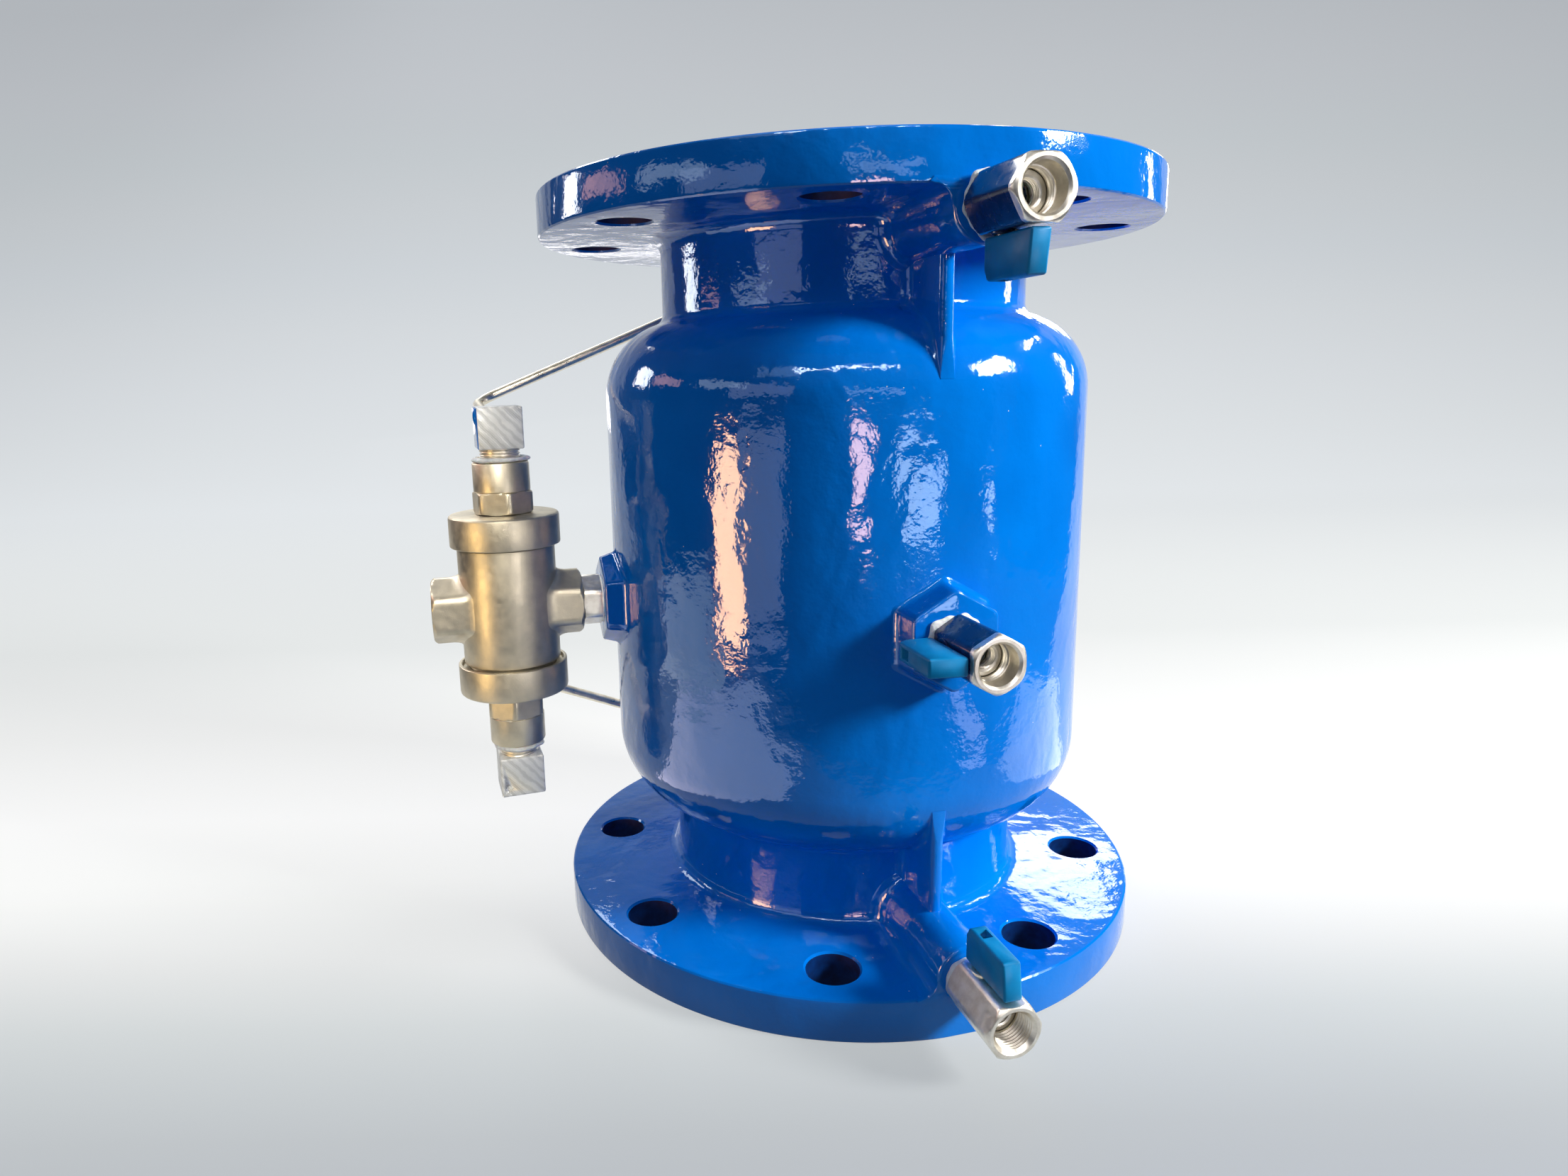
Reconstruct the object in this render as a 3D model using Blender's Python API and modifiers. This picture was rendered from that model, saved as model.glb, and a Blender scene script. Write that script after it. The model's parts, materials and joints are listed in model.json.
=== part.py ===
"""In-line backflow preventer, DN150: two sprung check valves in one flanged casting,
three ball test cocks and a piloted relief valve on two sense lines.

The flow runs down, along -Z. Sizes are in millimetres. The test cocks face -Y, the relief
valve stands at -X, and the origin is under the middle of the whole object.
"""
import math

import bmesh
import bpy
from mathutils import Matrix, Vector

MM = 0.001

# Gap left between solids that seat on each other
CLEAR = 0.3

# Casting
HEIGHT = 346.0
FLANGE_D = 285.0
FLANGE_T = 19.0
FLANGE_EDGE = 1.5
BOLT_CIRCLE_D = 240.0
BOLT_HOLE_D = 23.0
BOLT_COUNT = 8
NECK_WALL = 11.0
BARREL_D = 229.0
SHOULDER_R = 35.0
SHOULDER_DEPTH = 91.0
FOOT_FILLET = 6.0
NECK_FILLET = 5.0
WALL = 10.0
BORE_D = 150.0
LEDGE_W = 5.0
LEDGE_DEPTH = 46.0
PARTITION_Z = 132.0
PARTITION_T = 9.0
RECESS_DEPTH = 3.0

# Bosses, ribs and pads on the casting
BOSS_R = 13.0
BOSS_FLARE = 7.0
RIM_FLAT = 1.2
RIB_T = 6.0
RIB_INSET = 0.5
PAD_AF = 36.0
PAD_ROOT_AF = 38.5
COCK_PAD_H = 11.5
RELIEF_PAD_H = 8.0
PAD_Z = 160.5

# Test cocks
COCK_DEPTH = 26.0
COCK_AF = 21.0
COCK_LENGTH = 32.5
COCK_EDGE = 1.6
FLANGE_STANDOFF = 4.0
PAD_STANDOFF = 0.8
TAIL_R = 8.3
TAIL_LENGTH = 16.0
SOCKET_R = 8.0
SOCKET_DEPTH = 12.0
WATERWAY_R = 4.2
BALL_R = 7.0
BALL_W = 8.5
CHAMBER_R = 7.5
RETAINER_T = 3.5
COCK_STEM_R = 3.0
COLLAR_R = 5.0
COLLAR_H = 0.6
STEM_TOP = 18.0
HANDLE_T = 7.5
HANDLE_BACK = 7.8
HANDLE_FRONT = 22.1
HANDLE_H = 14.6
SCREW_HEAD_R = 2.4
SCREW_R = 1.3

# Check valve cartridges, measured from the sealing plane of the seat
LIP_INSET = 12.0
LIP_W = 3.5
LIP_H = 6.1
SEAT_RING_T = 8.9
GASKET_T = 1.5
CAGE_LENGTH = 64.0
CAGE_WALL = 4.0
LEG_W = 12.0
ARM_H = 9.0
HUB_R = 13.0
HUB_H = 18.0
BUSH_T = 2.5
BUSH_PLAY = 0.1
CHECK_STEM_R = 7.0
CHECK_TRAVEL = 25.0
DISC_MARGIN = 1.0
DISC_T = 8.4
SEAL_T = 5.0
SEAL_INSIDE_LIP = 8.0
PLATE_T = 3.0
STUD_R = 5.0
STEM_NUT_AF = 17.0
STEM_NUT_H = 7.0
CHECK_SPRING_R = 24.0
CHECK_WIRE_R = 1.5
CHECK_TURNS = 3.5

# Relief valve, measured from the crossing of its port axis and its own axis
NIPPLE_GAP = 9.5
RELIEF_R = 22.4
CAP_R = 25.3
CAP_H = 14.5
CAP_WALL = 3.5
TOP_SHOULDER = 29.3
LOW_SHOULDER = 25.7
SPIGOT_R = 20.0
SPIGOT_H = 10.5
UPPER_BORE_R = 15.5
LOWER_BORE_R = 13.0
SPRING_LEDGE = 19.0
CHAMBER_BORE_R = 11.0
SEAT_HOLE_R = 7.5
WEB_TOP = 1.0
WEB_T = 3.0
SEAT_RIM_H = 1.0
SEAT_RIM_W = 1.6
PORT_AF = 28.0
PORT_REACH = 35.0
PORT_INNER_REACH = 33.6
PORT_BORE_R = 10.7
PORT_BORE_DEPTH = 10.0
PASSAGE_R = 5.8
PASSAGE_RISE = 8.5
NIPPLE_AF = 21.5
NIPPLE_BORE_R = 7.0
NIPPLE_ENGAGE = 9.0
PISTON_STEM_R = 3.5
PISTON_T = 5.0
RELIEF_DISC_R = 10.0
RELIEF_DISC_T = 4.0
RELIEF_SEAL_T = 2.0
RELIEF_TRAVEL = 3.5
RELIEF_WIRE_R = 0.9
RELIEF_TURNS = 3.5
RING_R = 0.95

# Adapters, elbows and sense lines
ADAPTER_AF = 25.0
ADAPTER_TURN = -22.0
UPPER_HEX_H = 10.0
LOWER_HEX_H = 12.0
SLEEVE_R = 12.9
SLEEVE_H = 13.5
ADAPTER_SPIGOT_R = 7.7
ELBOW_NECK_R = 9.2
ELBOW_NECK_H = 6.0
ELBOW_W = 20.5
ELBOW_H = 19.0
NUT_AF = 14.0
NUT_H = 9.0
NUT_NOSE_R = 4.6
NUT_NOSE_H = 5.0
TUBE_R = 2.7
TUBE_BEND_R = 12.0
CONNECTOR_ABOVE_BARREL = 8.5
CONNECTOR_ANGLE = 115.0
CONNECTOR_BOSS_R = 10.0
CONNECTOR_BOSS_H = 6.0
CONNECTOR_AF = 17.0
CONNECTOR_HEX_H = 8.0
CONNECTOR_TAIL_R = 6.5
TUBE_BEHIND_BARREL = 1.5
TUBE_SPREAD = 8.0
TUBE_RISE = 8.5

# Facets, and the distance under which doubled points are welded
CASTING_STEPS = 32
CHECK_STEPS = 16
SMALL_STEPS = 12
WELD = 0.02

# Values that follow from the sizes above
FLANGE_R = FLANGE_D / 2
BORE_R = BORE_D / 2
NECK_R = BORE_R + NECK_WALL
BARREL_R = BARREL_D / 2
LEDGE_R = BORE_R - LEDGE_W
RIB_REACH = BARREL_R - RIB_INSET
LIP_R = LEDGE_R - LIP_INSET
DISC_R = LIP_R + LIP_W + DISC_MARGIN
SEAL_INNER_R = LIP_R - SEAL_INSIDE_LIP
RELIEF_X = BARREL_R + RELIEF_PAD_H + NIPPLE_GAP + PORT_INNER_REACH
TUBE_SETBACK = BARREL_R + TUBE_BEHIND_BARREL
CONNECTOR_DEPTH = SHOULDER_DEPTH - SHOULDER_R - CONNECTOR_ABOVE_BARREL
COCK_REACH = FLANGE_R - RIM_FLAT + FLANGE_STANDOFF + COCK_LENGTH
DRAIN_REACH = RELIEF_X + PORT_REACH
AXIS_X = (DRAIN_REACH - FLANGE_R) / 2
AXIS_Y = (COCK_REACH - FLANGE_R) / 2
LEDGE_Z = HEIGHT - LEDGE_DEPTH
SEAT_TO_RING_TOP = LIP_H + SEAT_RING_T
INLET_SEAT_Z = LEDGE_Z + GASKET_T + 2 * CLEAR - LIP_H
PARTITION_UNDER_Z = PARTITION_Z - PARTITION_T + RECESS_DEPTH
OUTLET_SEAT_Z = PARTITION_UNDER_Z - GASKET_T - 2 * CLEAR - SEAT_TO_RING_TOP
HANDLE_BASE = COCK_AF / 2 + COLLAR_H + CLEAR

# Turns a child's local +Z onto another axis of its parent
ALONG_X = (0, math.pi / 2, 0)
ALONG_MINUS_X = (0, -math.pi / 2, 0)
ALONG_Y = (-math.pi / 2, 0, 0)
UPSIDE_DOWN = (math.pi, 0, 0)


def start_clean():
    """Empty the file and make the two collections."""
    for old in list(bpy.data.objects):
        bpy.data.objects.remove(old, do_unlink=True)
    made = []
    for name in ("backflow_preventer", "cutters"):
        collection = bpy.data.collections.new(name)
        bpy.context.scene.collection.children.link(collection)
        made.append(collection)
    return made


PARTS, CUTTERS = start_clean()


def finish(name, colour, roughness, metallic):
    """A plain Principled material."""
    material = bpy.data.materials.new(name)
    material.use_nodes = True
    shader = material.node_tree.nodes["Principled BSDF"]
    shader.inputs["Base Color"].default_value = (*colour, 1.0)
    shader.inputs["Roughness"].default_value = roughness
    shader.inputs["Metallic"].default_value = metallic
    return material


ENAMEL = finish("blue_enamel", (0.0, 0.13, 0.62), 0.15, 0.0)
BRONZE = finish("bronze", (0.62, 0.42, 0.2), 0.35, 1.0)
STEEL = finish("stainless", (0.62, 0.6, 0.56), 0.3, 1.0)
CAST_STEEL = finish("cast_stainless", (0.55, 0.49, 0.41), 0.45, 1.0)
ALUMINIUM = finish("sawn_aluminium", (0.75, 0.75, 0.73), 0.5, 1.0)
NICKEL = finish("nickel_plate", (0.66, 0.63, 0.56), 0.28, 1.0)
RUBBER = finish("black_rubber", (0.02, 0.02, 0.02), 0.7, 0.0)
PTFE = finish("white_ptfe", (0.9, 0.9, 0.88), 0.4, 0.0)
PLASTIC = finish("blue_plastic", (0.0, 0.2, 0.42), 0.4, 0.0)


def empty(name, parent=None, location=(0, 0, 0), axes=None):
    """A frame to build in; axes gives its local X and Z in the parent's frame."""
    frame = bpy.data.objects.new(name, None)
    frame.empty_display_size = 10 * MM
    PARTS.objects.link(frame)
    frame.parent = parent
    turn = Matrix.Identity(4)
    if axes:
        x_axis, z_axis = (Vector(axis).normalized() for axis in axes)
        turn = Matrix((x_axis, z_axis.cross(x_axis), z_axis)).transposed().to_4x4()
    frame.matrix_basis = Matrix.Translation(Vector(location) * MM) @ turn
    return frame


def add(name, data, parent, material=None, location=(0, 0, 0), rotation=(0, 0, 0)):
    """Link a part, or a hidden cutter when it has no material."""
    made = bpy.data.objects.new(name, data)
    made.parent = parent
    made.location = Vector(location) * MM
    made.rotation_euler = rotation
    if material:
        data.materials.append(material)
        PARTS.objects.link(made)
    else:
        made.hide_render = True
        made.display_type = "WIRE"
        CUTTERS.objects.link(made)
    return made


def turned(name, profile, parent, material=None, steps=SMALL_STEPS, **place):
    """Turn a profile of (radius, z) about local Z. It runs down its outer side, top to
    bottom, and closes on itself unless it starts and ends on the axis."""
    mesh = bpy.data.meshes.new(name)
    verts = [(r * MM, 0, z * MM) for r, z in profile]
    edges = [(i, i + 1) for i in range(len(verts) - 1)]
    if profile[0][0] > 0:
        edges.append((len(verts) - 1, 0))
    mesh.from_pydata(verts, edges, [])
    made = add(name, mesh, parent, material, **place)
    screw = made.modifiers.new("turn", "SCREW")
    screw.steps = steps
    screw.render_steps = steps
    screw.use_merge_vertices = True
    screw.merge_threshold = 0.00001
    return made


def ring(r_in, r_out, low, high):
    """Profile of a plain ring."""
    return [(r_in, high), (r_out, high), (r_out, low), (r_in, low)]


def rod(radius, low, high, chamfer=0.0):
    """Profile of a solid rod with chamfered ends."""
    if not chamfer:
        return [(0, high), (radius, high), (radius, low), (0, low)]
    return [(0, high), (radius - chamfer, high), (radius, high - chamfer),
            (radius, low + chamfer), (radius - chamfer, low), (0, low)]


# Directions in a profile, in degrees
OUTWARD = 0
UP = 90
INWARD = 180
DOWN = -90


def arc(centre, radius, start, stop, count):
    """Points of an arc from one direction to another."""
    angles = [math.radians(start + (stop - start) * i / count) for i in range(count + 1)]
    return [(centre[0] + radius * math.cos(a), centre[1] + radius * math.sin(a))
            for a in angles]


def hexagon(name, flats, low, high, parent, material=None, top_flats=None, turn=0.0, **place):
    """A hexagonal bar along local Z, corners on local X, or turned by an angle."""
    mesh = bpy.data.meshes.new(name)
    work = bmesh.new()
    corner = MM / (2 * math.cos(math.pi / 6))
    lift = Matrix.Translation((0, 0, (low + high) / 2 * MM))
    to_x = 30
    bmesh.ops.create_cone(work, cap_ends=True, segments=6, radius1=flats * corner,
                          radius2=(top_flats or flats) * corner, depth=(high - low) * MM,
                          matrix=lift @ Matrix.Rotation(math.radians(to_x + turn), 4, "Z"))
    work.to_mesh(mesh)
    work.free()
    return add(name, mesh, parent, material, **place)


def box(name, low, high, parent, material=None, **place):
    """A block between two corners."""
    mesh = bpy.data.meshes.new(name)
    work = bmesh.new()
    middle = (Vector(low) + Vector(high)) / 2 * MM
    size = (Vector(high) - Vector(low)) * MM
    bmesh.ops.create_cube(work, size=1.0,
                          matrix=Matrix.Translation(middle) @ Matrix.Diagonal((*size, 1)))
    work.to_mesh(mesh)
    work.free()
    return add(name, mesh, parent, material, **place)


def extruded(name, outline, thickness, parent, material=None, **place):
    """A flat outline in local XY, extruded evenly to both sides, as a closed mesh."""
    curve = bpy.data.curves.new(name, "CURVE")
    curve.dimensions = "2D"
    curve.fill_mode = "BOTH"
    curve.extrude = thickness / 2 * MM
    spline = curve.splines.new("POLY")
    spline.points.add(len(outline) - 1)
    for point, (x, y) in zip(spline.points, outline):
        point.co = (x * MM, y * MM, 0, 1)
    spline.use_cyclic_u = True
    flat = bpy.data.objects.new(name + "_outline", curve)
    CUTTERS.objects.link(flat)
    bpy.context.view_layer.update()
    evaluated = flat.evaluated_get(bpy.context.evaluated_depsgraph_get())
    mesh = bpy.data.meshes.new_from_object(evaluated)
    mesh.name = name
    bpy.data.objects.remove(flat)
    work = bmesh.new()
    work.from_mesh(mesh)
    bmesh.ops.remove_doubles(work, verts=work.verts, dist=0.00001)
    bmesh.ops.recalc_face_normals(work, faces=work.faces)
    work.to_mesh(mesh)
    work.free()
    return add(name, mesh, parent, material, **place)


def wire(name, points, radius, parent, material, sides=2):
    """A round wire or tube along a list of points, with filled ends."""
    curve = bpy.data.curves.new(name, "CURVE")
    curve.dimensions = "3D"
    curve.bevel_depth = radius * MM
    curve.bevel_resolution = sides
    curve.use_fill_caps = True
    spline = curve.splines.new("POLY")
    spline.points.add(len(points) - 1)
    for point, place in zip(spline.points, points):
        point.co = (*(Vector(place) * MM), 1)
    return add(name, curve, parent, material)


def boolean(target, tool, operation):
    modifier = target.modifiers.new(tool.name, "BOOLEAN")
    modifier.operation = operation
    modifier.object = tool
    modifier.solver = "EXACT"


def cut(target, *tools):
    for tool in tools:
        boolean(target, tool, "DIFFERENCE")


def join(target, *tools):
    for tool in tools:
        boolean(target, tool, "UNION")


def coil(radius, wire_r, low, high, turns, per_turn=8):
    """Centre line of a spring between two faces, with a flat first and last half turn."""
    bottom = low + wire_r + CLEAR
    rise = high - low - 2 * (wire_r + CLEAR)
    count = int(turns * per_turn)
    flat = per_turn // 2
    points = []
    for i in range(count + 1):
        angle = 2 * math.pi * i / per_turn
        climb = min(max((i - flat) / (count - 2 * flat), 0), 1)
        points.append((radius * math.cos(angle), radius * math.sin(angle), bottom + rise * climb))
    return points


def bent(corners, bend_r, steps=3):
    """A route with straight runs and an arc at each inner corner."""
    corners = [Vector(corner) for corner in corners]
    route = [corners[0]]
    for before, corner, after in zip(corners, corners[1:], corners[2:]):
        into, out = (before - corner).normalized(), (after - corner).normalized()
        half = into.angle(out) / 2
        setback = bend_r / math.tan(half)
        centre = corner + (into + out).normalized() * bend_r / math.sin(half)
        first, last = corner + into * setback - centre, corner + out * setback - centre
        for i in range(steps + 1):
            route.append(centre + first.slerp(last, i / steps).normalized() * bend_r)
    return route + [corners[-1]]


# The casting


def outer_profile():
    """Half outline of the casting's outside, mirrored about its middle."""
    shoulder = (BARREL_R - SHOULDER_R, HEIGHT - SHOULDER_DEPTH)
    under = HEIGHT - FLANGE_T
    fillet_r = NECK_R + NECK_FILLET
    rise = math.sqrt((SHOULDER_R + NECK_FILLET) ** 2 - (fillet_r - shoulder[0]) ** 2)
    meet = math.degrees(math.atan2(rise, fillet_r - shoulder[0]))
    top = [(FLANGE_R - FLANGE_EDGE, HEIGHT), (FLANGE_R, HEIGHT - FLANGE_EDGE),
           (FLANGE_R, under + FLANGE_EDGE), (FLANGE_R - FLANGE_EDGE, under)]
    top += arc((NECK_R + FOOT_FILLET, under - FOOT_FILLET), FOOT_FILLET, UP, INWARD, 2)
    top += arc((fillet_r, shoulder[1] + rise), NECK_FILLET, INWARD, INWARD + meet, 2)
    top += arc(shoulder, SHOULDER_R, meet, OUTWARD, 3)[1:]
    bottom = [(r, HEIGHT - z) for r, z in reversed(top)]
    return [(0, HEIGHT)] + top + bottom + [(0, 0)]


def inner_profile():
    """Water passage: upper bore, seat ledge, chamber, partition, lower chamber, bore."""
    over = 5.0
    inner_r = BARREL_R - WALL
    curve_r = SHOULDER_R - WALL
    upper = (inner_r - curve_r, HEIGHT - SHOULDER_DEPTH)
    lower = (inner_r - curve_r, SHOULDER_DEPTH)
    pass_r = LEDGE_R
    under = PARTITION_Z - PARTITION_T
    return ([(0, HEIGHT + over), (BORE_R, HEIGHT + over), (BORE_R, LEDGE_Z), (pass_r, LEDGE_Z),
             (pass_r, upper[1] + curve_r)]
            + arc(upper, curve_r, UP, OUTWARD, 2)
            + [(inner_r, PARTITION_Z), (pass_r, PARTITION_Z), (pass_r, PARTITION_UNDER_Z),
               (BORE_R, PARTITION_UNDER_Z), (BORE_R, under), (inner_r, under)]
            + arc(lower, curve_r, OUTWARD, DOWN, 2)
            + [(BORE_R, lower[1] - curve_r), (BORE_R, -over), (0, -over)])


def bolt_holes(parent):
    """All the flange holes in one cutter, straddling the test cocks' plane."""
    mesh = bpy.data.meshes.new("bolt_holes")
    work = bmesh.new()
    radius = BOLT_HOLE_D / 2 * MM
    for i in range(BOLT_COUNT):
        angle = 2 * math.pi * (i + 0.5) / BOLT_COUNT - math.pi / 2
        for z in (FLANGE_T / 2, HEIGHT - FLANGE_T / 2):
            centre = Vector((math.cos(angle), math.sin(angle), 0)) * BOLT_CIRCLE_D / 2
            at = Matrix.Translation((centre + Vector((0, 0, z))) * MM)
            bmesh.ops.create_cone(work, cap_ends=True, segments=SMALL_STEPS, radius1=radius,
                                  radius2=radius, depth=2 * FLANGE_T * MM, matrix=at)
    work.to_mesh(mesh)
    work.free()
    return add("bolt_holes", mesh, parent)


def boss_outline():
    """Section of a flange boss: a round crown that flares into the flange. X is across,
    Y is height above the flange's inner face."""
    rise = COCK_DEPTH - FLANGE_T
    flare = min(BOSS_FLARE, rise)
    sunk = FLANGE_T / 2
    side = BOSS_R + flare
    left = arc((-side, flare), flare, DOWN, OUTWARD, 3)
    crown = arc((0, rise), BOSS_R, INWARD, OUTWARD, 7)
    right = [(-x, y) for x, y in reversed(left)]
    return [(-side, -sunk)] + left + crown[1:-1] + right + [(side, -sunk)]


def flange_boss(axis, which, top):
    """Boss along -Y between neck and rim, and the rib that runs from it to the shoulder."""
    face = -(FLANGE_R - RIM_FLAT)
    outer = -FLANGE_R - RIM_FLAT
    inner = -(BORE_R + NECK_R) / 2
    side = -1 if top else 1
    base = HEIGHT - FLANGE_T if top else FLANGE_T
    frame = empty(which + "_boss_frame", axis, (0, (outer + inner) / 2, base),
                  ((1, 0, 0), (0, -side, 0)))
    boss = extruded(which + "_boss", boss_outline(), inner - outer, frame)
    reach = (COCK_DEPTH, SHOULDER_DEPTH)
    span = sorted(HEIGHT - z if top else z for z in reach)
    rib = box(which + "_rib", (-RIB_T / 2, -RIB_REACH, span[0]), (RIB_T / 2, inner, span[1]), axis)
    edge = 2.0
    span = sorted(HEIGHT - z if top else z for z in (-edge, COCK_DEPTH + 2 * BOSS_R))
    flat = box(which + "_rim_flat", (-2 * BOSS_R, face - FLANGE_T, span[0]),
               (2 * BOSS_R, face, span[1]), axis)
    return boss, rib, flat


def socket(name, tail_r, deep, reach, stand, parent):
    """Threaded hole for a part whose shoulder is at z=0, and the waterway behind it."""
    bottom = -deep - CLEAR
    return turned(name, [(0, stand), (tail_r + CLEAR, stand), (tail_r + CLEAR, bottom),
                         (WATERWAY_R, bottom), (WATERWAY_R, -reach), (0, -reach)], parent)


def casting(axis, cocks, relief, connectors):
    """The one-piece body with everything that is cast or drilled in it."""
    body = turned("valve_body", outer_profile(), axis, ENAMEL, CASTING_STEPS)
    flats = []
    for which, top in (("top", True), ("bottom", False)):
        boss, rib, flat = flange_boss(axis, which, top)
        join(body, boss, rib)
        flats.append(flat)
    root = BARREL_R - WALL / 2
    corners_up = ((0, 0, 1), (0, -1, 0))
    pad_frame = empty("cock_pad_frame", axis, (0, 0, PAD_Z), corners_up)
    relief_frame = empty("relief_pad_frame", axis, (0, 0, PAD_Z), ((0, 0, 1), (-1, 0, 0)))
    for frame, height in ((pad_frame, COCK_PAD_H), (relief_frame, RELIEF_PAD_H)):
        join(body, hexagon(frame.name.replace("_frame", ""), PAD_ROOT_AF, root,
                           BARREL_R + height, frame, top_flats=PAD_AF))
    for name, frame in connectors.items():
        join(body, turned(name + "_boss", rod(CONNECTOR_BOSS_R, BORE_R - NECK_R, 0), frame))
    passage = turned("water_passage", inner_profile(), axis, steps=CASTING_STEPS,
                     rotation=(0, 0, math.pi / CASTING_STEPS))
    cut(body, passage, *flats)
    cut(body, bolt_holes(axis))
    for name, (frame, wall) in cocks.items():
        cut(body, socket(name + "_hole", TAIL_R, TAIL_LENGTH, wall, BOSS_R, frame))
    pad_face = BARREL_R + RELIEF_PAD_H
    hole = ring(0, PORT_BORE_R, BARREL_R - 2 * WALL, pad_face + WALL)
    cut(body, turned("relief_hole", hole, relief_frame))
    for name, frame in connectors.items():
        drill = ring(0, CONNECTOR_TAIL_R + CLEAR, -2 * (NECK_R - BORE_R), CLEAR + 1)
        cut(body, turned(name + "_hole", drill, frame))
    return body


# Test cocks


def handle_outline():
    """Side view of the lever: X runs out from the stem, Y is height over the cock's axis."""
    base, top = HANDLE_BASE, HANDLE_BASE + HANDLE_H
    slant = 2.2
    return [(-HANDLE_BACK, base), (HANDLE_FRONT, base), (HANDLE_FRONT - slant, top),
            (-HANDLE_BACK + slant, top), (-HANDLE_BACK, base + HANDLE_H * 0.75)]


def test_cock(name, axis, root, stem_axis):
    """Ball valve with its shoulder at root and its stem along stem_axis. Local Z runs out
    of the casting, local X is the stem."""
    frame = empty(name + "_frame", axis, root, (stem_axis, (0, -1, 0)))
    flats = COCK_AF / 2
    socket_floor = COCK_LENGTH - SOCKET_DEPTH
    retainer_low = socket_floor - RETAINER_T - CLEAR
    body = hexagon(name + "_body", COCK_AF, 0, COCK_LENGTH, frame, NICKEL, turn=30)
    corner = COCK_AF / math.sqrt(3)
    over = 1.0
    slope = COCK_EDGE + over
    rounding = turned(name + "_rounding", [
        (0, COCK_LENGTH + over), (corner - slope, COCK_LENGTH + over),
        (corner + over, COCK_LENGTH - slope), (corner + over, -over), (0, -over)],
        frame, steps=CHECK_STEPS)
    boolean(body, rounding, "INTERSECT")
    join(body, turned(name + "_tail", rod(TAIL_R, -TAIL_LENGTH, 1), frame),
         turned(name + "_collar", rod(COLLAR_R, SOCKET_R, flats + COLLAR_H), frame,
                location=(0, 0, BALL_W), rotation=ALONG_X))
    chamber_low = BALL_W - CHAMBER_R
    passage = [(0, COCK_LENGTH + 1), (SOCKET_R + 1, COCK_LENGTH + 1), (SOCKET_R + 1, COCK_LENGTH),
               (SOCKET_R, COCK_LENGTH - 1), (SOCKET_R, socket_floor), (CHAMBER_R, socket_floor),
               (CHAMBER_R, chamber_low), (WATERWAY_R, chamber_low),
               (WATERWAY_R, -TAIL_LENGTH - 1), (0, -TAIL_LENGTH - 1)]
    cut(body, turned(name + "_passage", passage, frame),
        turned(name + "_stem_hole", rod(COCK_STEM_R + CLEAR, 0, STEM_TOP), frame,
               location=(0, 0, BALL_W), rotation=ALONG_X))

    hole_r = WATERWAY_R + CLEAR
    turned(name + "_retainer", ring(hole_r, CHAMBER_R - CLEAR, retainer_low, socket_floor),
           frame, NICKEL)
    seat_low = BALL_W + BALL_R / 2
    seat_high = retainer_low - CLEAR
    touch = math.sqrt(BALL_R ** 2 - (seat_low - BALL_W) ** 2) + CLEAR
    turned(name + "_seat", [(hole_r, seat_high), (CHAMBER_R - CLEAR, seat_high),
                            (CHAMBER_R - CLEAR, seat_low), (touch, seat_low)], frame, PTFE)
    ball_and_lever(name, frame)
    return frame


def ball_and_lever(name, frame):
    """The pieces that turn together; their origins are on the stem's axis."""
    at_ball = {"location": (0, 0, BALL_W)}
    slot = 2.0
    ball = turned(name + "_ball", arc((0, 0), BALL_R, UP, DOWN, 6), frame, STEEL, **at_ball)
    cut(ball, turned(name + "_ball_bore", rod(WATERWAY_R, -2 * BALL_R, 2 * BALL_R), frame,
                     **at_ball),
        box(name + "_ball_slot", (BALL_R - slot, -slot / 2 - CLEAR, -BALL_R),
            (BALL_R + slot, slot / 2 + CLEAR, BALL_R), frame, **at_ball))
    along = {"location": (0, 0, BALL_W), "rotation": ALONG_X}
    stem = turned(name + "_stem", rod(COCK_STEM_R, BALL_R + CLEAR, STEM_TOP), frame, STEEL,
                  **along)
    tang_w = COCK_STEM_R * 0.9
    join(stem, box(name + "_tang", (BALL_R - slot + CLEAR, -slot / 2, -tang_w),
                   (BALL_R + 1, slot / 2, tang_w), frame, **at_ball))
    screw_low = STEM_TOP - 6
    cut(stem, turned(name + "_stem_tap", rod(SCREW_R + CLEAR, screw_low - 1, STEM_TOP + 1),
                     frame, **along))

    # The lever's side view lies in local X and Z of the cock
    lever_frame = empty(name + "_lever_frame", frame, (0, 0, BALL_W), ((0, 0, 1), (0, 1, 0)))
    lever = extruded(name + "_handle", handle_outline(), HANDLE_T, lever_frame, PLASTIC)
    floor = STEM_TOP + 2 * CLEAR
    head_z = floor + 2
    top = HANDLE_BASE + HANDLE_H + 2
    cut(lever,
        turned(name + "_handle_hole", [
            (0, top), (SCREW_HEAD_R + CLEAR, top), (SCREW_HEAD_R + CLEAR, head_z),
            (SCREW_R + CLEAR, head_z), (SCREW_R + CLEAR, floor), (COCK_STEM_R + CLEAR, floor),
            (COCK_STEM_R + CLEAR, 0), (0, 0)], frame, **along))
    head = head_z + CLEAR
    turned(name + "_screw", [(0, head + 1.8), (SCREW_HEAD_R, head + 1.8), (SCREW_HEAD_R, head),
                             (SCREW_R, head), (SCREW_R, screw_low), (0, screw_low)],
           frame, STEEL, **along)


# Check valves


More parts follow.
